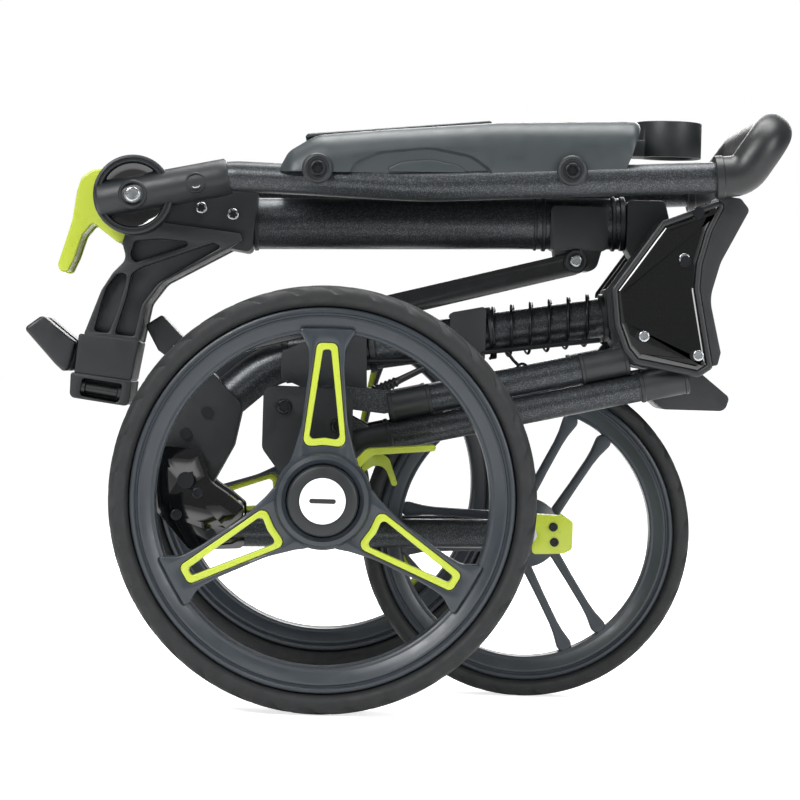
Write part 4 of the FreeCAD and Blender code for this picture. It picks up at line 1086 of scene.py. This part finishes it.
def rim_profile(outer, inner, half):
    """Half of a rim's section, from the middle of its tyre seat round to the middle of its bore."""
    return [(outer, 0), (outer, half - 2.2), (outer - 0.4, half - 0.8), (outer - 1.6, half),
            (outer - 3.0, half), (outer - 3.8, half - 0.7), (outer - 4.3, half - 2.4),
            (outer - 5.2, half - 2.6),
            (outer - 5.8, half - 1.7), (outer - 7.2, half - 1.6), (outer - 9.5, half - 3.4),
            (outer - 12.0, half - 5.2), (inner + 3.0, half - 6.3), (inner + 1.4, half - 6.0),
            (inner + 0.3, half - 6.8), (inner, half - 8.5), (inner, 0)]


def both_faces(profile, middle):
    """The section and its mirror image, as one closed loop."""
    upper = [(r, middle + y) for r, y in profile]
    lower = [(r, middle - y) for r, y in reversed(profile) if y > 0]
    return upper + lower


def window(inner, outer, half_in, half_out, corner_in, corner_out, bow=0.0):
    """Outline of a spoke window along +X from the axle; its hub end is hollowed by the bow."""
    points = [(inner, -half_in, corner_in), (outer, -half_out, corner_out), (outer, half_out, corner_out),
              (inner, half_in, corner_in)]
    if bow:
        points.append((inner + bow, 0, half_in * 1.4))
    return outline(points)


class TROLLEY_OT_rear_wheels(bpy.types.Operator):
    """Builds the rear wheels: tyre, rim, three windowed spokes, lime frames and hub cap"""
    bl_idname = "trolley.rear_wheels"
    bl_label = "Rear wheels"

    def execute(self, context):
        half = (low_high("rear_rim_far")[1].y - low_high("rear_rim_far")[0].y) / 2
        bore = REAR_RIM_R - RIM_DEPTH
        cap_low, cap_high = low_high("hub_cap_far")
        hub_out, tip = (cap_high.z - cap_low.z) / 2, cap_high.y
        for side, hand in HANDS:
            body, middle = "rear_wheel_" + hand, side * REAR_MIDDLE
            start = WHEEL_TURN[side]
            tyre("rear_tyre_skin_" + hand, "rear_tyre_" + hand, REAR_AXLE, middle, REAR_R, REAR_RIM_R,
                 REAR_WIDTH, sizes().grooves, body)
            rim = lathe("rim", both_faces(rim_profile(REAR_RIM_R, bore, half), middle), REAR_AXLE, 192)
            face, back = REAR_MIDDLE + half - 3, REAR_MIDDLE + half - 19
            low, high = between(side, back + 0.5, face - 0.4)
            flank = [(24, 24, 6), (33, 20.5, 16), (52, 15.6, 60), (88, 12.2, 60), (103, 12.4, 14),
                     (bore + 2.5, 20, 2)]
            spoke = ([(13, -18)] + [(x, -z, corner) for x, z, corner in flank]
                     + [(x, z, corner) for x, z, corner in reversed(flank)] + [(13, 18)])
            arm_ring = resample(outline(spoke), 320, (bore + 2.5, 0))
            hole_ring = resample(window(36, bore - 7, 15, 7, 5, 4, 1.5), 320, (bore - 7, 0))
            arm = framed("arm", arm_ring, [hole_ring], low, high, 1.3)
            arms = repeated("arms", arm, REAR_AXLE, 0.0, 3, start, "moulded_polypropylene")
            barrel = [(6.2, half - 1), (19, half - 1), (hub_out + 8, half - 3.2), (hub_out + 9.6, half - 4.6),
                      (hub_out + 10, half - 8), (hub_out + 10, half - 15), (hub_out + 3, half - 18),
                      (20, -half), (6.2, -half)]
            hub = lathe("hub", [(r, REAR_MIDDLE + y) for r, y in barrel], REAR_AXLE, 128, side)
            settle("rear_rim_shell_" + hand, [rim, arms, hub], body, *RIM, "rear_rim_" + hand)
            outer = resample(window(36.1, bore - 7.1, 14.9, 6.9, 5, 4, 1.5), 240, (bore - 7, 0))
            inner = resample(window(41.0, bore - 11.6, 10.7, 2.7, 3, 2, 1.5), 240, (bore - 11.6, 0))
            low, high = between(side, back + 4, face + 0.3)
            lime = framed("lime", outer, [inner], low, high, 0.9)
            frames = repeated("lime_frames_" + hand, lime, REAR_AXLE, 0.0, 3, start, "lime_abs")
            settle("lime_frames_" + hand, frames, body, *LIME, "spoke_frames_" + hand)
            base = REAR_MIDDLE + half - 1.2
            torus = [(hub_out + 9, base - 3), (hub_out + 8.8, base - 0.6), (hub_out + 7, base + 1.6),
                     (hub_out + 4, base + 2.4), (hub_out + 1.4, base + 1.4), (hub_out + 0.4, base - 0.4),
                     (hub_out + 0.4, base - 3)]
            turned("hub_ring_" + hand, torus, REAR_AXLE, 128, side, body, *RIM)
            dome = [(0.01, base - 2), (hub_out - 0.1, base - 2), (hub_out, tip - 3),
                    (hub_out - 0.8, tip - 1.2), (hub_out - 2.4, tip - 0.5), (hub_out - 7.5, tip - 0.4),
                    (hub_out - 8.0, tip - 1.0),
                    (0.01, tip - 1.0)]
            turned("hub_dome_" + hand, dome, REAR_AXLE, 96, side,
                   body, "glass_filled_nylon", "rim_plastic", "hub_cap_" + hand)
            disc = [(0.01, tip - 1.6), (hub_out - 8.4, tip - 1.6), (hub_out - 8.4, tip - 0.6),
                    (hub_out - 8.8, tip - 0.3), (0.01, tip - 0.3)]
            turned("hub_disc_" + hand, disc, REAR_AXLE, 96, side, body, "white_print", "rim_plastic")
            # plain raised bar across the disc, so that the wheel's turn can be seen
            mark = [(-9, -1.6, 1.5), (9, -1.6, 1.5), (9, 1.6, 1.5), (-9, 1.6, 1.5)]
            low, high = between(side, tip - 0.8, tip - 0.05)
            settle("hub_mark_" + hand, block(mark, REAR_AXLE, low, high, 0.2, 2), body,
                   "glass_filled_nylon", "rim_plastic")
        return {"FINISHED"}


class TROLLEY_OT_front_wheel(bpy.types.Operator):
    """Builds the front wheel: tyre, rim and three pairs of crossing ribs"""
    bl_idname = "trolley.front_wheel"
    bl_label = "Front wheel"

    def execute(self, context):
        half = (low_high("front_rim")[1].y - low_high("front_rim")[0].y) / 2
        bore = FRONT_RIM_R - RIM_DEPTH
        tyre("front_tyre_skin", "front_tyre", FRONT_AXLE, 0.0, FRONT_R, FRONT_RIM_R, FRONT_WIDTH,
             round(sizes().grooves * FRONT_R / REAR_R), "front_wheel")
        rim = lathe("rim", both_faces(rim_profile(FRONT_RIM_R, bore, half), 0), FRONT_AXLE, 160)
        ribs = []
        for sign in (-1, 1):
            start = np.array(polar((0, 0), 12, sign * 60))
            end = np.array(polar((0, 0), bore + 1.5, sign * 9))
            way = (end - start) / np.linalg.norm(end - start)
            wide = np.array((-way[1], way[0]))
            rows = [(0, 4.4), (14, 3.6), (40, 3.0), (62, 3.0), (70, 3.6), (np.linalg.norm(end - start), 6.5)]
            points = [tuple(start + way * t - wide * w) + (9,) for t, w in rows]
            points += [tuple(start + way * t + wide * w) + (9,) for t, w in reversed(rows)]
            ribs.append(block(points, (0, 0), -7, 7, 1.4))
        pairs = repeated("pairs", joined("pair", ribs), FRONT_AXLE, 0.0, 3, 60.0, "moulded_polypropylene")
        barrel = [(6.2, half), (13, half), (14.5, half - 1.5), (15.5, half - 4), (23, half - 6),
                  (25.4, half - 7.2), (26, half - 9), (26, 0)]
        hub = lathe("hub", both_faces([(6.2, 0)] + barrel, 0), FRONT_AXLE, 96)
        settle("front_rim_shell", [rim, pairs, hub], "front_wheel", *RIM, "front_rim")
        return {"FINISHED"}


# ---- screws ------------------------------------------------------------------------------------
def both_hands(spots, y, diameter):
    """Spots (x, z) in mm on both sides of the middle plane, at that Y."""
    return [(x, side * y, z, side, diameter) for side in (NEAR, FAR) for x, z in spots]


class TROLLEY_OT_screws(bpy.types.Operator):
    """Sets six-point and hexagon screw heads on every bracket"""
    bl_idname = "trolley.screws"
    bl_label = "Screws"

    def execute(self, context):
        head = sizes().screw / MM
        disc, console, tubes, cover, clamp, link = (low_high(node)[1].y for node in (
            "handle_hinge_far", "console_tray", "handle_tubes", "fork_cover_far", "axle_clamps",
            "axle_bracket_far"))
        zinc, dark = "zinc_plated_steel", "black_oxide_steel"
        # name, body, finish, diameter, and for each height off the middle: pivot, spots and that height
        for name, body, finish, size, groups in (
                ("hinge_screws", "front_frame", zinc, head,
                 [(MAIN, [(14, 61), (5, 28), (-22, -28), (17, -40.5)], COVER_OUT - 0.4)]),
                ("clamp_screws", "front_frame", dark, head, [(CLAMP, [(6, 8), (-9, -8)], 21.0)]),
                ("collar_screw_heads", "upper_frame", zinc, head * 1.1,
                 [(HANDLE, [(47, -6), (70, -10)], 28.0)]),
                ("brace_screws", "upper_frame", zinc, head * 1.1, [(BRACE_PIN, [(0, 0)], 22.5)]),
                ("hinge_hex", "handle", zinc, 11.0, [(HANDLE, [(0, 0)], disc - 2.5)]),
                ("sleeve_screws", "handle", zinc, head * 1.1, [(SLEEVE_SCREW, [(0, 0)], disc - 2.9)]),
                ("console_screws", "handle", dark, 11.0, [(CONSOLE_BOLTS[0], [(0, 0)], console + 1.6),
                                                          (CONSOLE_BOLTS[1], [(0, 0)], tubes + 2.0)]),
                ("fork_screw_heads", "fork", dark, head, [(FORK, [(9, -9), (-6, -25), (19, -38)], cover)]),
                ("axle_clamp_screws", "fork", dark, head * 0.8, [(FRONT_AXLE, [(18, 6), (19, -5)], clamp)]),
                ("axle_bracket_screws", "axle_frame", dark, head * 1.3,
                 [(REAR_AXLE, [(-30, 61.5), (9, 49)], link)])):
            heads = [row for at, spots, y in groups
                     for row in both_hands([(at[0] + x, at[1] + z) for x, z in spots], y, size)]
            screws(name, body, heads, finish, "hex" if name.endswith("hex") else "torx")
        return {"FINISHED"}


# ---- stage -------------------------------------------------------------------------------------
FLOOR_R, FLOOR_SIDES = 30.0, 96                             # metres, and sides of the disc
CAMERA_LENS = 143.1                                         # mm
CAMERA_SPOT, CAMERA_AIM = Vector((-0.0391, -2.335, 0.2364)), Vector((0.0004, 0.0, 0.2139))
CAMERA_RIGHT = Vector((0.99956, 0.0, 0.02967))              # rolls the camera by 1.7 degrees
# name, place in m, width, depth, watts and the spot it faces
LAMPS = (("key", (-1.3, -1.7, 1.7), 1.3, 0.9, 55, (0, 0, 0.25)),
         ("fill", (1.7, -1.6, 0.9), 1.0, 1.0, 22, (0.05, 0, 0.22)),
         ("top", (0.1, 0.1, 1.7), 1.8, 0.7, 34, (0, 0, 0.3)),
         ("back", (0.5, 1.8, 1.1), 1.4, 0.8, 26, (0, 0, 0.25)))


class TROLLEY_OT_stage(bpy.types.Operator):
    """Sets the pale floor, soft studio lights and camera"""
    bl_idname = "trolley.stage"
    bl_label = "Stage"

    def execute(self, context):
        scene = context.scene
        scene.view_settings.view_transform = "Standard"
        tree, _, where = new_material("pale_floor", Roughness=0.9, Specular_IOR_Level=0.1)
        shade = add_node(tree, "ShaderNodeTexNoise", {"Vector": where, "Scale": 3.0})
        tint = add_node(tree, "ShaderNodeMapRange", {0: shade.outputs[0], 3: 0.93, 4: 0.95})
        bsdf = next(n for n in tree.nodes if n.type == "BSDF_PRINCIPLED")
        bsdf.inputs["Emission Color"].default_value = (1, 1, 1, 1)
        seen = add_node(tree, "ShaderNodeLightPath").outputs["Is Camera Ray"]
        glow = add_node(tree, "ShaderNodeMapRange", {0: seen, 3: 0.12, 4: 0.75}).outputs[0]
        tree.links.new(glow, bsdf.inputs["Emission Strength"])
        tree.links.new(tint.outputs[0], bsdf.inputs["Base Color"])
        floor = bpy.data.meshes.new("floor")
        rim = [(FLOOR_R * math.cos(t), FLOOR_R * math.sin(t), 0)
               for t in np.linspace(0, TAU, FLOOR_SIDES, endpoint=False)]
        floor.from_pydata(rim, [], [tuple(range(FLOOR_SIDES))])
        floor.materials.append(bpy.data.materials["pale_floor"])
        new_object("floor", floor)

        world = bpy.data.worlds.new("studio")
        scene.world = world
        world.use_nodes = True
        tree = world.node_tree
        tree.nodes.clear()
        way = add_node(tree, "ShaderNodeTexCoord").outputs["Generated"]
        height = add_node(tree, "ShaderNodeSeparateXYZ", {0: way}).outputs[2]
        level = add_node(tree, "ShaderNodeMapRange", {0: height, 1: -0.3, 2: 0.9, 3: 0.1, 4: 0.42}).outputs[0]
        seen = add_node(tree, "ShaderNodeLightPath").outputs["Is Camera Ray"]
        strength = add_node(tree, "ShaderNodeMix", {0: seen, 2: level, 3: 1.0}, data_type="FLOAT").outputs[0]
        sky = add_node(tree, "ShaderNodeBackground", {0: (1, 1, 1, 1), 1: strength})
        add_node(tree, "ShaderNodeOutputWorld", {0: sky.outputs[0]})

        for name, spot, wide, deep, power, aim in LAMPS:
            light = bpy.data.lights.new(name, "AREA")
            light.shape, light.size, light.size_y, light.energy = "RECTANGLE", wide, deep, power
            lamp = bpy.data.objects.new(name, light)
            scene.collection.objects.link(lamp)
            lamp.location = spot
            lamp.rotation_euler = (Vector(aim) - Vector(spot)).to_track_quat("-Z", "Y").to_euler()

        camera = bpy.data.cameras.new("camera")
        camera.lens, camera.sensor_width = CAMERA_LENS, 36.0
        eye = bpy.data.objects.new("camera", camera)
        scene.collection.objects.link(eye)
        back = (CAMERA_SPOT - CAMERA_AIM).normalized()
        up = back.cross(CAMERA_RIGHT).normalized()
        right = up.cross(back)
        turn = Matrix((right, up, back)).transposed().to_4x4()
        eye.matrix_world = Matrix.Translation(CAMERA_SPOT) @ turn
        camera.clip_start, camera.clip_end = 0.05, 80.0
        scene.camera = eye
        return {"FINISHED"}


# ---- add-on ------------------------------------------------------------------------------------
STEPS = (TROLLEY_OT_finishes, TROLLEY_OT_tubes, TROLLEY_OT_main_hinge, TROLLEY_OT_front_tube_fittings,
         TROLLEY_OT_upper_frame, TROLLEY_OT_bag_bracket, TROLLEY_OT_cam_lever, TROLLEY_OT_handle,
         TROLLEY_OT_console, TROLLEY_OT_fork, TROLLEY_OT_links, TROLLEY_OT_brake, TROLLEY_OT_rear_wheels,
         TROLLEY_OT_front_wheel, TROLLEY_OT_screws, TROLLEY_OT_stage)


class TROLLEY_PT_panel(bpy.types.Panel):
    """Sidebar panel with the trolley's colours, sizes and steps"""
    bl_label = "Folding Golf Trolley"
    bl_idname = "TROLLEY_PT_panel"
    bl_space_type = "VIEW_3D"
    bl_region_type = "UI"
    bl_category = "Trolley"

    def draw(self, context):
        for group in (context.scene.trolley_colours, context.scene.trolley_sizes):
            box = self.layout.box()
            for key in type(group).__annotations__:
                box.prop(group, key)
        for step in STEPS:
            self.layout.operator(step.bl_idname)


CLASSES = (TrolleyColours, TrolleySizes, *STEPS, TROLLEY_PT_panel)


def register():
    for item in CLASSES:
        bpy.utils.register_class(item)
    bpy.types.Scene.trolley_colours = bpy.props.PointerProperty(type=TrolleyColours)
    bpy.types.Scene.trolley_sizes = bpy.props.PointerProperty(type=TrolleySizes)


def unregister():
    del bpy.types.Scene.trolley_sizes
    del bpy.types.Scene.trolley_colours
    for item in reversed(CLASSES):
        bpy.utils.unregister_class(item)


def main():
    register()
    for step in STEPS:
        group, operator = step.bl_idname.split(".")
        if getattr(getattr(bpy.ops, group), operator)() != {"FINISHED"}:
            raise RuntimeError(step.bl_idname + " did not finish")


if __name__ == "__main__":
    main()
